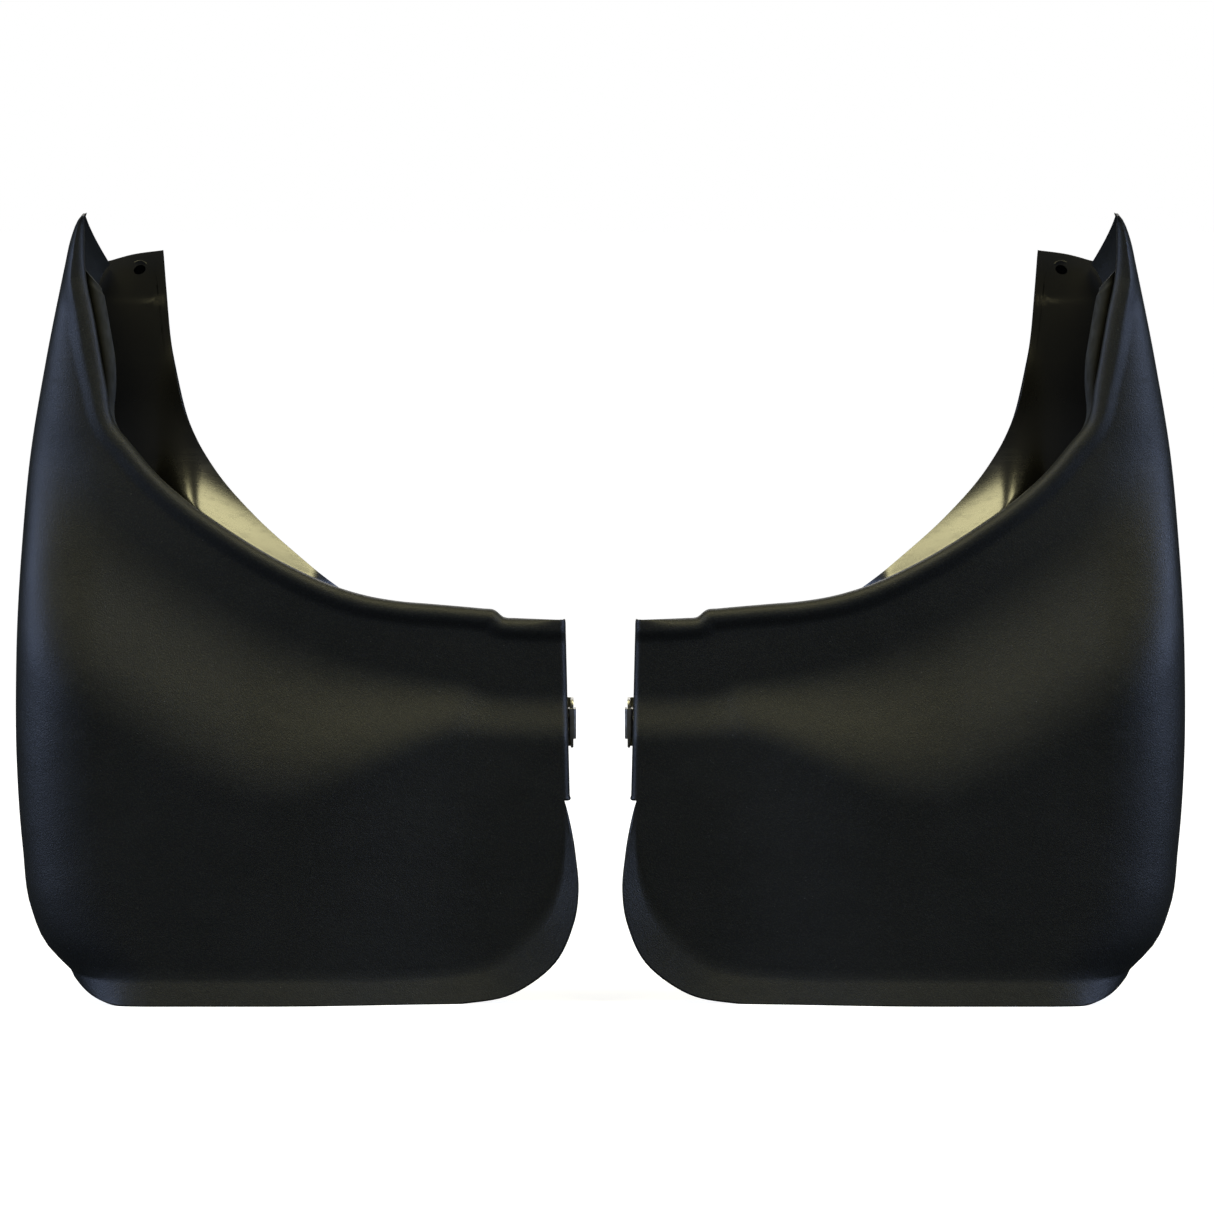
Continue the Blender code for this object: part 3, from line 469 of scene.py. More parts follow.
def band(lower, upper):
    """Faces between two closed loops of point numbers."""
    count = len(lower)
    return [(lower[k], lower[(k + 1) % count], upper[(k + 1) % count], upper[k])
            for k in range(count)]


def tube(sides, rows):
    """Faces of a tube of numbered rings, its ends open."""
    rings = [range(i * sides, (i + 1) * sides) for i in range(rows)]
    return [face for pair in zip(rings, rings[1:]) for face in band(*pair)]


def prism(low, high):
    """A solid between two outlines of the same number of points."""
    count = len(low)
    ends = [tuple(range(count)), tuple(range(count, 2 * count))]
    return low + high, ends + band(range(count), range(count, 2 * count))


def lathe(profile, place, y=0.0, sides=40):
    """A solid of revolution from (radius, y) points in mm, placed at (a, z), depth y."""
    points = []
    faces = []
    rings = []
    for radius, height in profile:
        ring = [(0.0, height, 0.0)] if radius == 0 else circle(radius, height, sides)
        rings.append(range(len(points), len(points) + len(ring)))
        points += ring
    for lower, upper in zip(rings, rings[1:]):
        for k in range(sides):
            n = (k + 1) % sides
            corners = {lower[k % len(lower)]: 0, lower[n % len(lower)]: 0,
                       upper[n % len(upper)]: 0, upper[k % len(upper)]: 0}
            if len(corners) > 2:
                faces.append(tuple(corners))
    return placed(points, place, y), faces


def ring_solid(profile, place, y):
    """A closed ring of revolution from (radius, y) points in mm, placed at (a, z), depth y."""
    count = len(profile)
    sides = 48
    points = []
    for k in range(sides):
        turn = 2 * math.pi * k / sides
        points += [(radius * math.cos(turn), height, radius * math.sin(turn))
                   for radius, height in profile]
    faces = tube(count, sides) + band(range((sides - 1) * count, sides * count), range(count))
    return placed(points, place, y), faces


def corner_arc(before, here, after, reach, steps):
    """Points of an arc in place of a corner."""
    first = here + unit(before - here) * reach
    last = here + unit(after - here) * reach
    return [first * (1 - t) ** 2 + here * 2 * t * (1 - t) + last * t ** 2 for t in steps]


def rounded(profile, radius, closed=False):
    """The profile with its corners cut to short arcs."""
    corners = np.array(profile, float)
    made = []
    for k, here in enumerate(corners):
        if not closed and k in (0, len(corners) - 1):
            made.append(here)
            continue
        before = corners[k - 1]
        after = corners[(k + 1) % len(corners)]
        reach = min(radius, np.linalg.norm(before - here) * 0.45,
                    np.linalg.norm(after - here) * 0.45)
        made += corner_arc(before, here, after, reach, (0.0, 0.33, 0.67, 1.0))
    return [tuple(point) for point in np.array(made).tolist()]


def placed(points, place, y):
    """Points moved from the origin to an (a, z) place at depth y."""
    return [(p[0] + place[0], p[1] + y, p[2] + place[1]) for p in points]


def joined(*solids):
    """Several (points, faces) as one."""
    points = []
    faces = []
    for more, links in solids:
        base = len(points)
        points += [tuple(p) for p in more]
        faces += [tuple(base + k for k in face) for face in links]
    return points, faces


def linked(name, data):
    obj = bpy.data.objects.new(name, data)
    bpy.context.scene.collection.objects.link(obj)
    return obj


def boolean_mesh(mesh, cutter, operation="DIFFERENCE"):
    """The mesh cut by or joined with another closed mesh; both sources are removed."""
    target = linked(mesh.name, mesh)
    other = linked(cutter.name, cutter)
    modifier = target.modifiers.new(operation.title(), "BOOLEAN")
    modifier.operation = operation
    modifier.solver = "EXACT"
    modifier.use_self = False
    modifier.object = other
    graph = bpy.context.evaluated_depsgraph_get()
    made = bpy.data.meshes.new_from_object(target.evaluated_get(graph))
    bpy.data.objects.remove(target)
    bpy.data.objects.remove(other)
    return made


def add_pair(name, mesh, material, body="flap", soft=False):
    """The piece on the left flap and its mirror image on the right one, each in place of the
    CAD node of its name and riding on that flap's body."""
    mirror = mesh.copy()
    mirror.transform(Matrix.Scale(-1, 4, (1, 0, 0)))
    mirror.flip_normals()
    for side, own in ((LEFT, mesh), (RIGHT, mirror)):
        node = f"{LABELS[side]}_{name}"
        obj = linked(node + "_look", own)
        own.name = node + "_look"
        own.materials.clear()
        own.materials.append(material)
        if not soft:
            own.set_sharp_from_angle(angle=math.radians(SHARP_ANGLE))
            modifier = obj.modifiers.new("Normals", "WEIGHTED_NORMAL")
            modifier.keep_sharp = True
            modifier.weight = 90
        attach(obj, f"{LABELS[side]}_{body}")
        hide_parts(node)


# ---- materials

def feed(tree, socket, value):
    if isinstance(value, bpy.types.NodeSocket):
        tree.links.new(value, socket)
    else:
        socket.default_value = (*value, 1.0) if socket.type == "RGBA" else value


def add_node(tree, kind, inputs=None, **settings):
    node = tree.nodes.new(kind)
    for key, value in settings.items():
        setattr(node, key, value)
    for key, value in (inputs or {}).items():
        feed(tree, node.inputs[key], value)
    return node


class Nodes:
    """Short calls for building one material's node tree over (a, y, z) in metres."""

    def __init__(self, name):
        self.material = bpy.data.materials.new(name)
        self.material.use_nodes = True
        self.tree = self.material.node_tree
        self.shader = self.tree.nodes["Principled BSDF"]
        coordinates = self.add("ShaderNodeTexCoord")
        split = self.add("ShaderNodeSeparateXYZ", {"Vector": coordinates.outputs["Object"]})
        self.a = self.math("ABSOLUTE", split.outputs["X"])
        self.z = split.outputs["Z"]
        together = self.add("ShaderNodeCombineXYZ", {"X": self.a, "Y": split.outputs["Y"],
                                                     "Z": self.z})
        self.place = together.outputs["Vector"]

    def add(self, kind, inputs=None, **settings):
        return add_node(self.tree, kind, inputs, **settings)

    def math(self, operation, first, second=0.0):
        node = self.add("ShaderNodeMath", {0: first, 1: second}, operation=operation)
        return node.outputs[0]

    def noise(self, scale, detail, roughness, stretch=(1, 1, 1), turn=0.0, kind="Fac"):
        """Noise over the object, 0 to 1; stretch multiplies the three coordinates."""
        mapping = self.add("ShaderNodeMapping", {"Vector": self.place, "Scale": stretch,
                                                 "Rotation": (0.0, turn, 0.0)})
        node = self.add("ShaderNodeTexNoise", {"Vector": mapping.outputs["Vector"], "Scale": scale,
                                               "Detail": detail, "Roughness": roughness})
        return node.outputs[kind]

    def cells(self, scale):
        node = self.add("ShaderNodeTexVoronoi", {"Vector": self.place, "Scale": scale})
        return node.outputs["Distance"]

    def ramp(self, value, low, high, start=0.0, end=1.0):
        node = self.add("ShaderNodeMapRange", {"Value": value, "From Min": low, "From Max": high,
                                               "To Min": start, "To Max": end},
                        clamp=True, interpolation_type="SMOOTHSTEP")
        return node.outputs["Result"]

    def colours(self, factor, *stops):
        """Two colours, each at its place (place, (r, g, b)), blended by the factor."""
        node = self.add("ShaderNodeValToRGB", {"Fac": factor})
        for element, (place, colour) in zip(node.color_ramp.elements, stops):
            element.position = place
            element.color = (*colour, 1.0)
        return node.outputs["Color"]

    def mix(self, factor, first, second):
        node = self.add("ShaderNodeMix", {"Factor": factor}, data_type="RGBA")
        colours = [socket for socket in node.inputs if socket.type == "RGBA"]
        for socket, value in zip(colours, (first, second)):
            feed(self.tree, socket, value)
        return [socket for socket in node.outputs if socket.type == "RGBA"][0]

    def bump(self, height, strength, distance, below=None):
        """A bump on top of the one below."""
        inputs = {"Height": height, "Strength": strength, "Distance": distance}
        if below is not None:
            inputs["Normal"] = below
        return self.add("ShaderNodeBump", inputs).outputs["Normal"]

    def finish(self, colour, roughness, normal, **others):
        inputs = {"Base Color": colour, "Roughness": roughness, "Normal": normal}
        for key, value in (inputs | others).items():
            feed(self.tree, self.shader.inputs[key.replace("_", " ")], value)
        return self.material


def grained_plastic():
    """Black moulded thermoplastic with a fine leather grain, a dull sheen and light scuffs."""
    n = Nodes("grained_plastic")
    grain = n.cells(1500.0)
    pores = n.noise(3200.0, 2.0, 0.6)
    waves = n.noise(38.0, 3.0, 0.5)
    cloud = n.noise(9.0, 4.0, 0.6)
    scuffs = n.noise(60.0, 5.0, 0.7, (1.0, 1.0, 6.0), 0.5)
    dust = n.ramp(n.noise(900.0, 1.0, 0.5), 0.76, 0.82)
    base = n.colours(cloud, (0.3, (0.004, 0.0042, 0.0028)), (0.7, (0.0058, 0.006, 0.004)))
    speckle = n.noise(1150.0, 3.0, 0.75)
    tint = n.noise(800.0, 2.0, 0.6, kind="Color")
    tinted = n.mix(0.005, base, tint)
    mottled = n.mix(n.ramp(speckle, 0.45, 0.66, 0.0, 0.85), tinted, (0.018, 0.0187, 0.0132))
    rubbed = n.mix(n.ramp(scuffs, 0.6, 0.75, 0.0, 0.25), mottled, (0.016, 0.016, 0.016))
    dusty = n.mix(n.math("MULTIPLY", dust, 0.5), rubbed, (0.12, 0.12, 0.115))
    roughness = n.math("ADD", n.ramp(cloud, 0.3, 0.7, 0.46, 0.54),
                       n.ramp(scuffs, 0.55, 0.75, 0.0, 0.08))
    rough = n.math("ADD", roughness, n.ramp(pores, 0.4, 0.6, -0.02, 0.03))
    normal = n.bump(waves, 0.12, 0.004)
    normal = n.bump(speckle, 0.55, 0.00035, normal)
    normal = n.bump(grain, 0.35, 0.00012, normal)
    normal = n.bump(pores, 0.25, 0.00008, normal)
    return n.finish(dusty, rough, normal, IOR=1.46, Specular_IOR_Level=0.4)


def satin_plastic():
    """Smoother moulded black plastic of the wheel-side panel, with flow lines along the ramp; its
    upper part's sheen is lowered as painted shade.
    """
    n = Nodes("satin_plastic")
    cloud = n.noise(12.0, 4.0, 0.55)
    fine = n.noise(2600.0, 2.0, 0.6)
    beside_lip = n.math("MULTIPLY", n.ramp(n.z, 0.3, 0.322, 1.0, 0.0),
                        n.ramp(n.a, 0.222, 0.24, 1.0, 0.0))
    streaks = n.noise(330.0, 4.0, 0.6, (0.06, 1.0, 1.0), -0.62)
    streaks = n.math("ADD", n.math("MULTIPLY", n.math("SUBTRACT", streaks, 0.5), beside_lip), 0.5)
    long_streaks = n.noise(110.0, 3.0, 0.6, (0.08, 1.0, 1.0), -0.62)
    base = n.colours(cloud, (0.3, (0.006, 0.0062, 0.0066)), (0.7, (0.0085, 0.0085, 0.0085)))
    lined = n.mix(n.ramp(streaks, 0.5, 0.7, 0.0, 0.4), base, (0.013, 0.013, 0.012))
    rubbed = n.mix(n.ramp(long_streaks, 0.55, 0.72, 0.0, 0.3), lined, (0.016, 0.016, 0.014))
    roughness = n.math("ADD", n.ramp(cloud, 0.3, 0.7, 0.24, 0.29),
                       n.ramp(streaks, 0.5, 0.75, 0.0, 0.05))
    normal = n.bump(streaks, 0.07, 0.0002)
    normal = n.bump(fine, 0.12, 0.00006, normal)
    # Painted shade: the sheen falls from 0.9 to 0.3 up the panel, so its upper part looks shadowed.
    painted_shade_gloss = n.ramp(n.z, 0.292, 0.33, 0.9, 0.3)
    return n.finish(rubbed, roughness, normal, IOR=1.58, Specular_IOR_Level=painted_shade_gloss)


def seal_rubber():
    """Extruded rubber: fine lines along it, a chalky bloom."""
    n = Nodes("seal_rubber")
    bloom = n.noise(70.0, 4.0, 0.6)
    lines = n.noise(900.0, 2.0, 0.5, (1.0, 1.0, 0.15))
    fine = n.noise(2400.0, 2.0, 0.6)
    colour = n.colours(bloom, (0.3, (0.012, 0.0125, 0.011)), (0.75, (0.026, 0.027, 0.023)))
    rough = n.ramp(lines, 0.3, 0.7, 0.66, 0.84)
    normal = n.bump(lines, 0.25, 0.0002)
    normal = n.bump(fine, 0.2, 0.0001, normal)
    return n.finish(colour, rough, normal, Specular_IOR_Level=0.35)


def foam():
    """Charcoal closed-cell foam with small open cells on its cut faces, their hollows painted dark
    as shade.
    """
    n = Nodes("foam")
    big = n.cells(900.0)
    small = n.cells(2300.0)
    cloud = n.noise(60.0, 3.0, 0.6)
    # Painted shade: the colour darkens towards each cell's centre, where the bump dents the
    # surface.
    pit_shade = n.ramp(big, 0.05, 0.5)
    colour = n.mix(pit_shade, (0.018, 0.018, 0.019),
                   n.colours(cloud, (0.3, (0.05, 0.05, 0.052)), (0.7, (0.075, 0.075, 0.078))))
    normal = n.bump(big, 0.7, 0.0006)
    normal = n.bump(small, 0.4, 0.0002, normal)
    return n.finish(colour, n.ramp(cloud, 0.3, 0.7, 0.86, 0.97), normal, Sheen_Weight=0.15)


def zinc(name, turned_lines):
    """Zinc-plated steel: spangle or turning lines, faint yellow passivation, tarnish spots."""
    n = Nodes(name)
    spangle = n.cells(420.0)
    cloud = n.noise(160.0, 4.0, 0.6)
    fine = n.noise(3000.0, 2.0, 0.6, (1.0, 6.0, 1.0) if turned_lines else (5.0, 1.0, 1.0))
    spots = n.ramp(n.noise(520.0, 3.0, 0.6), 0.66, 0.76)
    base = n.colours(cloud, (0.25, (0.5, 0.49, 0.46)), (0.75, (0.66, 0.66, 0.65)))
    tinted = n.mix(n.ramp(spangle, 0.2, 0.6, 0.0, 0.35), base, (0.58, 0.56, 0.48))
    tarnished = n.mix(n.math("MULTIPLY", spots, 0.6), tinted, (0.2, 0.17, 0.14))
    rough = n.math("ADD", n.ramp(cloud, 0.3, 0.7, 0.3, 0.42), n.math("MULTIPLY", spots, 0.25))
    normal = n.bump(fine, 0.2, 0.00006)
    normal = n.bump(spangle, 0.08, 0.0001, normal)
    return n.finish(tarnished, rough, normal, Metallic=1.0)


def nylon():
    """Moulded black nylon of the push rivets."""
    n = Nodes("clip_nylon")
    cloud = n.noise(120.0, 4.0, 0.6)
    fine = n.noise(2200.0, 2.0, 0.6)
    colour = n.colours(cloud, (0.3, (0.013, 0.013, 0.014)), (0.7, (0.022, 0.022, 0.023)))
    rubbed = n.mix(n.ramp(fine, 0.6, 0.75, 0.0, 0.4), colour, (0.05, 0.05, 0.052))
    normal = n.bump(fine, 0.2, 0.00008)
    return n.finish(rubbed, n.ramp(cloud, 0.3, 0.7, 0.34, 0.46), normal, Specular_IOR_Level=0.5)


# ---- pieces

SEAT = PANEL_Y + PANEL_WALL + GAP  # depth under the heads
THREAD_PITCH = 1.6
THREAD_DEPTH = 0.38
THREAD_TIP = 2.2  # length of a screw's tapered end
# Screws: head radius, head height, shank length
PANEL_SCREW_SIZE = (4.6, 3.0, 17.0)
BRACKET_SCREW_SIZE = (4.2, 2.6, 9.0)
ARCH_SCREW_SIZE = (5.0, 3.6, 20.0)
WASHER_THICKNESS = 1.4
SLOT_SLANT = 0.18  # the tab's socket leans a little


def shell_mesh(outer):
    mesh = rounded_sheet("outer_shell", outer, shell_inner(outer))
    surface = BVHTree.FromPolygons([v.co for v in mesh.vertices],
                                   [p.vertices[:] for p in mesh.polygons])
    bosses = []
    for place in PANEL_SCREWS.values():
        start = Vector((LEFT * place[0] * MM, (PANEL_Y - DEPTH_CENTRE) * MM, place[1] * MM))
        hit = surface.ray_cast(start, Vector((0, -1, 0)))[0]
        wall = hit.y / MM + DEPTH_CENTRE
        top = PANEL_Y - GAP
        bore = SCREW_RADIUS + GAP
        fillet = [(BOSS_RADIUS + 4.0 * (1 - math.sin(math.radians(t))) + 0.8,
                   wall - 0.4 + 4.0 * (1 - math.cos(math.radians(t)))) for t in (0, 22, 45, 67, 90)]
        profile = [(0, wall - WALL * 0.5), (BOSS_RADIUS + 4.8, wall - WALL * 0.5)] + fillet
        profile += rounded([fillet[-1], (BOSS_RADIUS, top), (bore, top), (bore, top - 17.0),
                            (0, top - 17.0)], 0.5)[1:]
        bosses.append(lathe(profile, place, sides=48))
    return boolean_mesh(mesh, scene_mesh("bosses", *joined(*bosses)), "UNION")


def panel_mesh():
    up = np.concatenate([np.linspace(0, 0.86, 96)[:-1], np.linspace(0.86, 1.0, 36)])
    rear = panel_grid(np.linspace(0, 1, 120), up)
    front = rear - panel_normals(rear) * PANEL_WALL
    rear[..., 1] += tab_step(rear)
    front[..., 1] += tab_step(rear)
    mesh = rounded_sheet("liner_panel", rear, front, 0.2)
    skin = float(panel_depth(np.array([TAB_HOLE]))[0]) + PANEL_WALL
    profile = rounded([(0, skin - 1.0), (TAB_BOSS_RADIUS, skin - 1.0),
                       (TAB_BOSS_RADIUS, TAB_BOSS_END), (0, TAB_BOSS_END)], 0.6)
    boss = scene_mesh("boss", *lathe(profile, TAB_HOLE, sides=48))
    mesh = boolean_mesh(mesh, boss, "UNION")
    cutters = []
    holes = [(HOLE_RADIUS, place) for place in PANEL_SCREWS.values()]
    holes += [(RIVET_RADIUS + GAP, place) for place in RIVETS.values()]
    holes += [(HOLE_RADIUS, place) for place in BRACKET_SCREWS.values()]
    holes.append((HOLE_RADIUS, ARCH_SCREW))
    for radius, place in holes:
        flare = radius + 0.35
        profile = [(0, 20.0), (flare, 20.0), (flare, PANEL_Y), (radius, PANEL_Y + 0.35),
                   (radius, PANEL_Y + PANEL_WALL - 0.35), (flare, PANEL_Y + PANEL_WALL),
                   (flare, 50.0), (0, 50.0)]
        cutters.append(lathe(profile, place))
    half = TAB_HOLE_SIZE[0] / 2
    points, faces = lathe([(0, 30.0), (half, 30.0), (half, TAB_SOCKET_END), (0, TAB_SOCKET_END)],
                          (0, 0), sides=48)
    squeeze = TAB_HOLE_SIZE[1] / TAB_HOLE_SIZE[0]
    points = [(a, y, z * squeeze - a * SLOT_SLANT) for a, y, z in points]
    cutters.append((placed(points, TAB_HOLE, 0.0), faces))
    return boolean_mesh(mesh, scene_mesh("holes", *joined(*cutters)))


def tab_step(points):
    """Small joggle of the tab, forward above it; deepest at the free edge."""
    share = 1.0 - ease((points[..., 0] - 237.0) / 18.0)
    return (0.12 + 0.65 * share) * ease((points[..., 2] - 373.5) / 2.2)


def seal_mesh(outer):
    stations = np.linspace(0.075, 0.93, 220)
    middle = (outer + shell_inner(outer)) / 2
    face = slice(len(SIDE_WALL), len(SIDE_WALL) + len(FACE_ACROSS))
    ends = middle[-1, face]
    ahead = unit(ends - middle[-2, face])
    end, forward = [np.stack([np.interp(stations, FACE_ACROSS, line[:, k]) for k in range(3)],
                             axis=1) for line in (ends, ahead)]
    tangent = unit(np.gradient(end, axis=0))
    outward = unit(np.cross(tangent, forward))
    outward *= np.sign(outward[-1, 2])
    horn = ease((end[:, 2] - 296.0) / 50.0)
    widths = SEAL_RADIUS + 1.4 * horn
    centre = end + forward * (SEAL_RADIUS + 3 * GAP) + outward * (-2.6 + 6.6 * horn)[:, None]
    sides = 28
    points = []
    for number, (place, normal, ahead, run, width) in enumerate(
            zip(centre, outward, forward, tangent, widths)):
        slant = 1.3 * (1.0 - ease(number / 14.0))
        for k in range(sides):
            turn = 2 * math.pi * k / sides
            lip = 1.0 + 0.16 * max(0.0, math.cos(turn)) ** 3 - 0.12 * math.sin(turn) ** 2
            reach = width * math.cos(turn) * lip * 0.92
            points.append(place + normal * reach
                          + ahead * SEAL_RADIUS * math.sin(turn) * 0.96
                          + run * max(0.0, (reach + width)) * slant)
    faces = tube(sides, len(stations))
    faces += [tuple(range(base, base + sides)) for base in (0, len(points) - sides)]
    return scene_mesh("edge_seal", points, faces)


def threaded(head_profile, length):
    """A screw along Y: a turned head on y = 0 and a shank with a rolled thread towards -Y."""
    sides = 40
    rows = int(length / THREAD_PITCH * 10)
    points = []
    for i in range(rows + 1):
        y = -length * i / rows
        taper = ease((length + y) / THREAD_TIP) * 0.8 + 0.2
        run_out = ease(-y / THREAD_PITCH)
        for k in range(sides):
            turn = k / sides
            phase = (y / THREAD_PITCH - turn) % 1.0
            crest = max(0.0, 1.0 - abs(phase - 0.5) * 3.2)
            r = (SCREW_RADIUS - THREAD_DEPTH * run_out * (1 - crest)) * taper
            points.append((r * math.cos(2 * math.pi * turn), y, r * math.sin(2 * math.pi * turn)))
    faces = tube(sides, rows + 1) + [tuple(range(rows * sides, len(points)))]
    previous = range(sides)
    for r, y in head_profile:
        base = len(points)
        if r == 0:
            points.append((0.0, y, 0.0))
            faces += [(previous[k], previous[(k + 1) % sides], base) for k in range(sides)]
            break
        points += circle(r, y, sides)
        faces += band(previous, range(base, base + sides))
        previous = range(base, base + sides)
    return points, faces


def recessed(body, size, depth, top, place, y):
    """The head with a tapered cross-shaped driver recess."""
    arm = size * 0.17
    outline = [(arm, arm), (arm, size), (-arm, size), (-arm, arm), (-size, arm), (-size, -arm),
               (-arm, -arm), (-arm, -size), (arm, -size), (arm, -arm), (size, -arm), (size, arm)]
    points, faces = prism(*[[(a * share, level, z * share) for a, z in outline]
                            for level, share in ((top + 1.0, 1.06), (top - depth, 0.55))])
    return boolean_mesh(body, scene_mesh("recess", placed(points, place, y), faces))


def screw_mesh(place, y, head_radius, head, length):
    dome = [(head_radius, 0.0), (head_radius, head * 0.12)]
    for angle in (15, 32, 50, 68, 80):
        t = math.radians(angle)
        dome.append((head_radius * (0.45 + 0.55 * math.cos(t)),
                     head * (0.12 + 0.88 * math.sin(t))))
    dome += [(head_radius * 0.3, head), (0, head)]
    points, faces = threaded(dome, length)
    body = scene_mesh("screw", placed(points, place, y), faces)
    return recessed(body, head_radius * 0.52, head * 0.62, head, place, y)


def rivet_body_mesh(place):
    """The flanged sleeve of a push rivet; its legs are slit."""
    profile = rounded([(2.0, -12.0), (RIVET_RADIUS * 0.8, -12.0), (RIVET_RADIUS, -9.0),
                       (RIVET_RADIUS * 0.9, -2.4), (RIVET_RADIUS, 0.0), (9.0, 0.0), (8.8, 1.2),
                       (7.4, 1.9), (6.2, 2.0), (2.0, 2.2)], 0.35, closed=True)
    body = scene_mesh("rivet_body", *ring_solid(profile, place, SEAT))
    half = [(-6.0, -0.45), (6.0, -0.45), (6.0, 0.45), (-6.0, 0.45)]
    for cos, sin in ((1, 0), (0, 1)):
        points, faces = prism(*[[(u * cos - v * sin, y, u * sin + v * cos) for u, v in half]
                                for y in (-14.0, -2.8)])
        body = boolean_mesh(body, scene_mesh("slit", placed(points, place, SEAT), faces))
    return body


def rivet_pin_mesh(place):
    profile = rounded([(0, -15.0), (0.9, -14.5), (1.7, -11.0), (1.7, -8.0), (1.55, -7.6),
                       (1.55, -1.0), (1.7, -0.6), (1.7, 2.5), (5.6, 2.5), (5.5, 3.4), (4.6, 4.2),
                       (0, 4.6)], 0.3)
    pin = scene_mesh("rivet_pin", *lathe(profile, place, SEAT))
    return recessed(pin, 2.6, 1.4, 4.6, place, SEAT)


def bent_strip(name, path, z_low, z_high, thickness, corner, bend):
    """A sheet-metal strip: path of (a, y) corners, bent to a radius, of the given width in z."""
    corners = np.array(path, float)
    line = [corners[0]]
    for before, here, after in zip(corners, corners[1:], corners[2:]):
        line += corner_arc(before, here, after, bend, np.linspace(0, 1, 9))
    line = np.array(line + [corners[-1]])
    run = np.concatenate([[0.0], np.cumsum(np.linalg.norm(np.diff(line, axis=0), axis=1))])
    length = run[-1]
    ends = corner * (1 - np.cos(np.linspace(0, math.pi / 2, 8)))
    stations = np.unique(np.round(np.concatenate([run, ends, length - ends,
                                                  np.linspace(corner, length - corner, 24)]), 5))
    places = np.stack([np.interp(stations, run, line[:, k]) for k in range(2)], axis=1)
    edge = np.minimum(stations, length - stations)
    pull = corner - np.sqrt(corner ** 2 - np.clip(corner - edge, 0, corner) ** 2)
    heights = [(z_low + pull) + (z_high - z_low - 2 * pull) * share
               for share in np.linspace(0, 1, 15)]
    grid = np.array([np.column_stack([places, z]) for z in heights])
    tangent = unit(np.gradient(places, axis=0))
    normal = np.stack([-tangent[:, 1], tangent[:, 0], np.zeros(len(tangent))], axis=1)
    return rounded_sheet(name, grid + normal[None] * thickness / 2,
                         grid - normal[None] * thickness / 2, 0.15)


def across_hole(radius, a_from, a_to, place):
    """A cylinder along the a axis at (y, z)."""
    return prism(*[[(a, place[0] + u, place[1] + v) for u, _, v in circle(radius, 0.0, 40)]
                   for a in (a_from, a_to)])


def bracket_mesh():
    front = PANEL_Y - GAP
    half = BRACKET_SHEET / 2
    path = [(BRACKET_LEG_A[0] + half, BRACKET_LEG_Y), (BRACKET_LEG_A[0] + half, front - half),
            (BRACKET_LEG_A[1], front - half)]
    strip = bent_strip("bracket", path, *BRACKET_Z, BRACKET_SHEET, 4.5, 2.2)
    hole = [(0, 20.0), (HOLE_RADIUS, 20.0), (HOLE_RADIUS, 50.0), (0, 50.0)]
    cutters = [lathe(hole, place) for place in BRACKET_SCREWS.values()]
    cutters.append(across_hole(3.4, 5.0, 30.0, NUT_PLACE))
    return boolean_mesh(strip, scene_mesh("holes", *joined(*cutters)))


def turned_at_nut(name, profile):
    """A solid of revolution about the nut's thread axis, from (radius, a) points."""
    points, faces = lathe(profile, (0, 0))
    return scene_mesh(name, [(y, NUT_PLACE[0] + x, NUT_PLACE[1] + z) for x, y, z in points], faces)


def nut_mesh():
    """Spring nut: a bent clip with a collar that carries the thread."""
    half = NUT_SHEET / 2
    near = BRACKET_LEG_A[0] - GAP - half
    far = BRACKET_LEG_A[0] + BRACKET_SHEET + GAP + half
    back = BRACKET_LEG_Y - GAP - half
    path = [(near, NUT_PLACE[0] + 6.0), (near, back), (far, back), (far, NUT_PLACE[0] + 7.5)]
    strip = bent_strip("nut", path, NUT_PLACE[1] - 8.0, NUT_PLACE[1] + 8.0, NUT_SHEET, 1.2, 0.9)
    outer = far + half
    collar = [(0, outer - 0.4), (4.4, outer - 0.4), (4.3, outer + 0.5), (4.0, outer + 2.6),
              (3.6, outer + 3.0), (0, outer + 3.0)]
    strip = boolean_mesh(strip, turned_at_nut("collar", collar), "UNION")
    rows = 60
    bore = [(2.5 + 0.22 * (i % 4 in (1, 2)), 8.0 + 14.0 * i / (rows - 1)) for i in range(rows)]
    return boolean_mesh(strip, turned_at_nut("bore", [(0, 8.0)] + bore + [(0, 22.0)]))


def pad_mesh(a_from, a_to, z_from, z_to):
    """A foam block: soft edges, slightly crowned faces and an uneven cut."""
    y_from = WALL + 2 * GAP
    low = np.array((a_from, y_from, z_from))
    high = np.array((a_to, y_from + PAD_THICKNESS, z_to))
    shape = bmesh.new()
    bmesh.ops.create_cube(shape, size=1.0)
    bmesh.ops.bevel(shape, geom=list(shape.edges), offset=0.06, segments=3, profile=0.5,
                    affect="EDGES")
    bmesh.ops.subdivide_edges(shape, edges=list(shape.edges), cuts=5, use_grid_fill=True)
    points = np.array([v.co for v in shape.verts])
    faces = [tuple(v.index for v in face.verts) for face in shape.faces]
    shape.free()
    crown = 1.0 - 0.05 * (points ** 2).sum(1)
    made = (low + high) / 2 + points * (high - low) * crown[:, None]
    wobble = 0.12 * np.sin(points[:, 0] * 37.0 + points[:, 2] * 11.0)
    made[:, 1] += wobble * np.sign(points[:, 1])
    return scene_mesh("pad", made, faces)


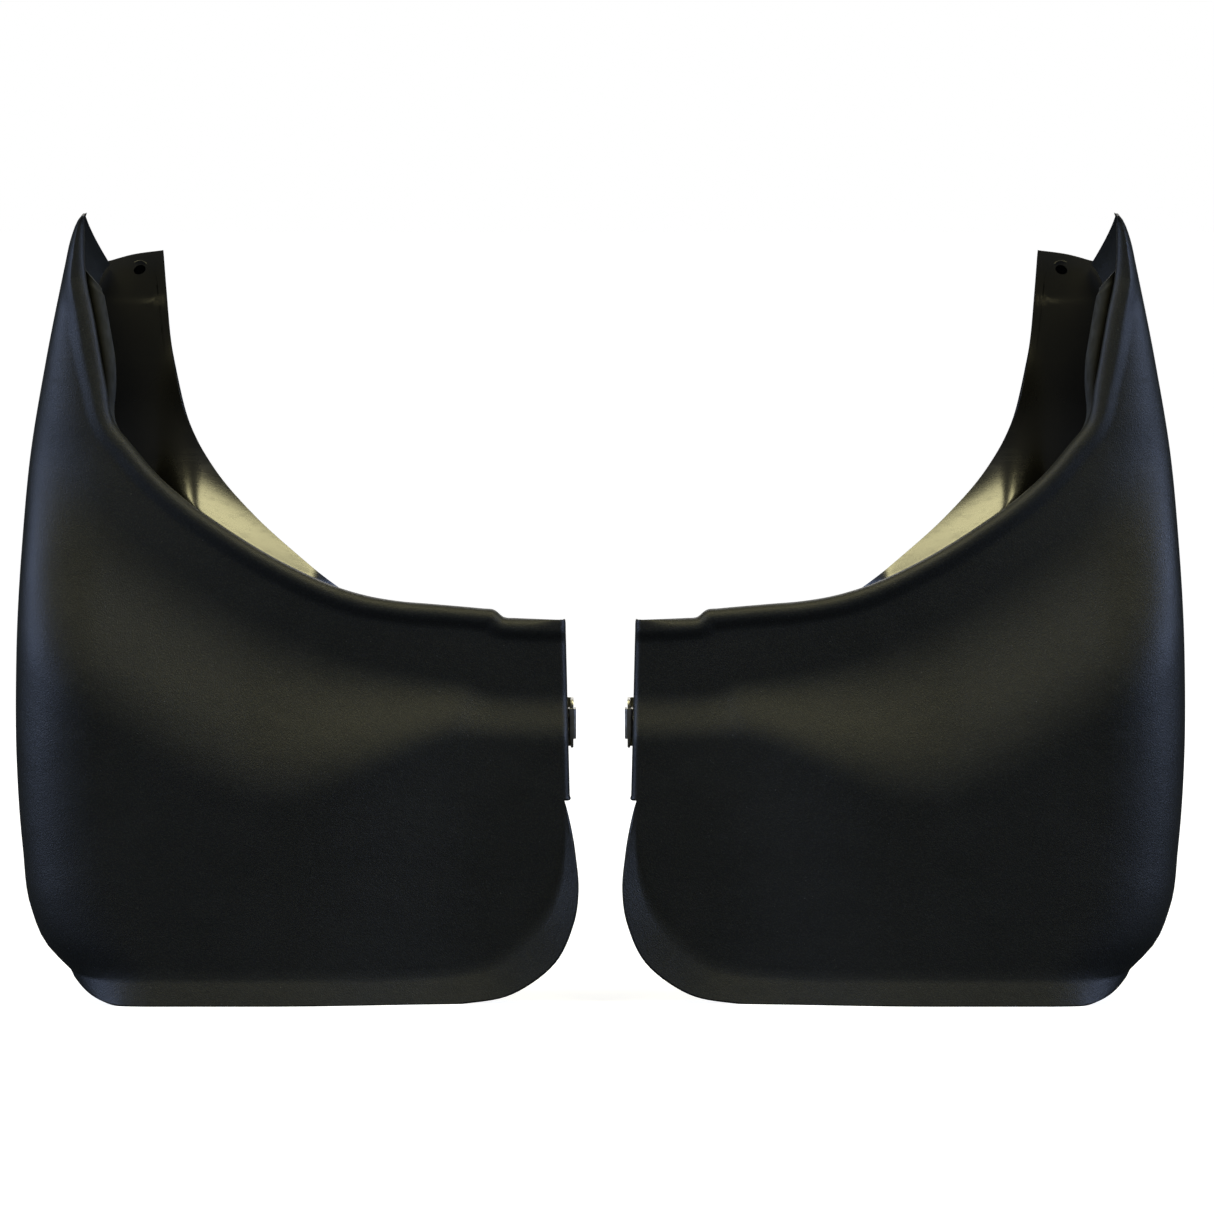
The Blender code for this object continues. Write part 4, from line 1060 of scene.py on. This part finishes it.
def add_fasteners(turned_zinc, clip):
    for label, places, size in (("panel_screw", PANEL_SCREWS, PANEL_SCREW_SIZE),
                                ("bracket_screw", BRACKET_SCREWS, BRACKET_SCREW_SIZE)):
        for name, place in places.items():
            add_pair(f"{label}_{name}", screw_mesh(place, SEAT, *size), turned_zinc)
    section = [(2.5, 0), (7.0, 0), (7.0, WASHER_THICKNESS), (2.5, WASHER_THICKNESS)]
    washer = ring_solid(rounded(section, 0.3, closed=True), ARCH_SCREW, SEAT)
    add_pair("arch_washer", scene_mesh("washer", *washer), turned_zinc, "arch_washer_body")
    mesh = screw_mesh(ARCH_SCREW, SEAT + WASHER_THICKNESS + GAP, *ARCH_SCREW_SIZE)
    add_pair("arch_screw", mesh, turned_zinc, "arch_screw_body")
    for name, place in RIVETS.items():
        add_pair(f"rivet_body_{name}", rivet_body_mesh(place), clip)
        add_pair(f"rivet_pin_{name}", rivet_pin_mesh(place), clip, f"rivet_pin_{name}_body")


# ---- stage, lights and camera

FLOOR_GAP = 0.0006
LIGHT_TARGET = (0.0, 0.0, 0.22)
CAMERA_DISTANCE = 5.0
CAMERA_HEIGHT_ANGLE = 2.5  # degrees above level
FRAME_WIDTH = 0.652  # what the picture spans at the origin, in metres
FRAME_CENTRE = (0.0035, 0.2103)  # (x, z) in the middle of the picture


def cleared_tree(owner):
    owner.use_nodes = True
    owner.node_tree.nodes.clear()
    return owner.node_tree


def by_ray(tree, output, unseen, seen):
    """Shows one shader to the camera and gives the other to all other rays."""
    path = add_node(tree, "ShaderNodeLightPath")
    mix = add_node(tree, "ShaderNodeMixShader", {"Fac": path.outputs["Is Camera Ray"],
                                                 1: unseen.outputs[0], 2: seen.outputs[0]})
    add_node(tree, output, {"Surface": mix.outputs[0]})


def make_stage():
    """A pale floor that stays pale to the camera and gives back only a little light."""
    mesh = bpy.data.meshes.new("floor")
    reach = 120.0
    corners = [(-reach, -reach, 0), (reach, -reach, 0), (reach, reach, 0), (-reach, reach, 0)]
    mesh.from_pydata(corners, [], [(0, 1, 2, 3)])
    floor = linked("floor", mesh)
    floor.location.z = -FLOOR_GAP
    material = bpy.data.materials.new("floor")
    tree = cleared_tree(material)
    place = add_node(tree, "ShaderNodeTexCoord")
    distance = add_node(tree, "ShaderNodeVectorMath", {0: place.outputs["Object"]},
                        operation="LENGTH")
    fade = add_node(tree, "ShaderNodeMapRange", {"Value": distance.outputs["Value"],
                                                 "From Min": 0.5, "From Max": 2.2,
                                                 "To Min": 0.84, "To Max": 1.0})
    bright = add_node(tree, "ShaderNodeEmission", {"Color": (1.0, 1.0, 1.0),
                                                   "Strength": fade.outputs["Result"]})
    pale = add_node(tree, "ShaderNodeBsdfDiffuse", {"Color": (0.55, 0.55, 0.55)})
    seen = add_node(tree, "ShaderNodeAddShader", {0: bright.outputs[0], 1: pale.outputs[0]})
    dim = add_node(tree, "ShaderNodeBsdfDiffuse", {"Color": (0.05, 0.05, 0.05)})
    by_ray(tree, "ShaderNodeOutputMaterial", dim, seen)
    mesh.materials.append(material)

    world = bpy.data.worlds.new("studio")
    bpy.context.scene.world = world
    tree = cleared_tree(world)
    white = add_node(tree, "ShaderNodeBackground", {"Color": (1.0, 1.0, 1.0), "Strength": 1.0})
    room = add_node(tree, "ShaderNodeBackground", {"Color": (0.8, 0.86, 1.0), "Strength": 0.03})
    by_ray(tree, "ShaderNodeOutputWorld", room, white)


def area_light(name, place, size, power, colour):
    data = bpy.data.lights.new(name, "AREA")
    data.shape = "RECTANGLE"
    data.size, data.size_y = size
    data.energy = power
    data.color = colour
    light = linked(name, data)
    light.location = place
    towards = Vector(LIGHT_TARGET) - Vector(place)
    light.rotation_euler = towards.to_track_quat("-Z", "Y").to_euler()
    light.visible_camera = False


def make_lights():
    area_light("overhead", (0.0, -0.1, 1.95), (1.2, 0.6), 6.0, (1.0, 0.93, 0.58))
    for side in (LEFT, RIGHT):
        area_light(f"ramp_{LABELS[side]}", (side * 0.85, -0.52, 1.85), (1.0, 0.6), 15.0,
                   (1.0, 0.92, 0.50))
        area_light(f"side_{LABELS[side]}", (side * 2.0, -0.6, 0.85), (0.7, 0.8), 34.0,
                   (0.50, 0.63, 1.0))
    area_light("back_fill", (0.0, 2.6, 1.6), (2.2, 1.4), 22.0, (1.0, 0.98, 0.95))


def make_camera():
    data = bpy.data.cameras.new("camera")
    data.sensor_width = 36.0
    data.lens = 36.0 * CAMERA_DISTANCE / FRAME_WIDTH
    data.clip_start = 0.1
    data.clip_end = 400.0
    camera = linked("camera", data)
    tilt = math.radians(CAMERA_HEIGHT_ANGLE)
    target = Vector((FRAME_CENTRE[0], 0.0, FRAME_CENTRE[1]))
    back = Vector((0.0, -math.cos(tilt), math.sin(tilt)))
    camera.location = target + back * CAMERA_DISTANCE
    camera.rotation_euler = (-back).to_track_quat("-Z", "Y").to_euler()
    bpy.context.scene.camera = camera
    bpy.context.scene.view_settings.view_transform = "Standard"


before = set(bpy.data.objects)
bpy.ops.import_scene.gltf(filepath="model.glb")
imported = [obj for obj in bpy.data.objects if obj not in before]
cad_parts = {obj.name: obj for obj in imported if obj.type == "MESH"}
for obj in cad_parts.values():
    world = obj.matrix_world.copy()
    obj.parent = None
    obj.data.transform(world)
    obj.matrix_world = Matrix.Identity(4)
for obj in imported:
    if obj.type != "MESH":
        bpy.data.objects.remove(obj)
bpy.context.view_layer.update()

sheet_zinc = zinc("zinc_sheet", False)
outer = shell_grid(FACE_ACROSS, FACE_UP, SIDE_WALL, INBOARD_RETURN, ROLL_ANGLES)
add_pair("outer_shell", shell_mesh(outer), grained_plastic())
add_pair("liner_panel", panel_mesh(), satin_plastic())
add_pair("edge_seal", seal_mesh(outer), seal_rubber())
add_pair("inboard_bracket", bracket_mesh(), sheet_zinc)
add_pair("spring_nut", nut_mesh(), sheet_zinc)
add_fasteners(zinc("zinc_turned", True), nylon())
soft_foam = foam()
for pad, limits in PADS.items():
    add_pair(f"lip_pad_{pad}", pad_mesh(*limits), soft_foam, soft=True)

make_stage()
make_lights()
make_camera()
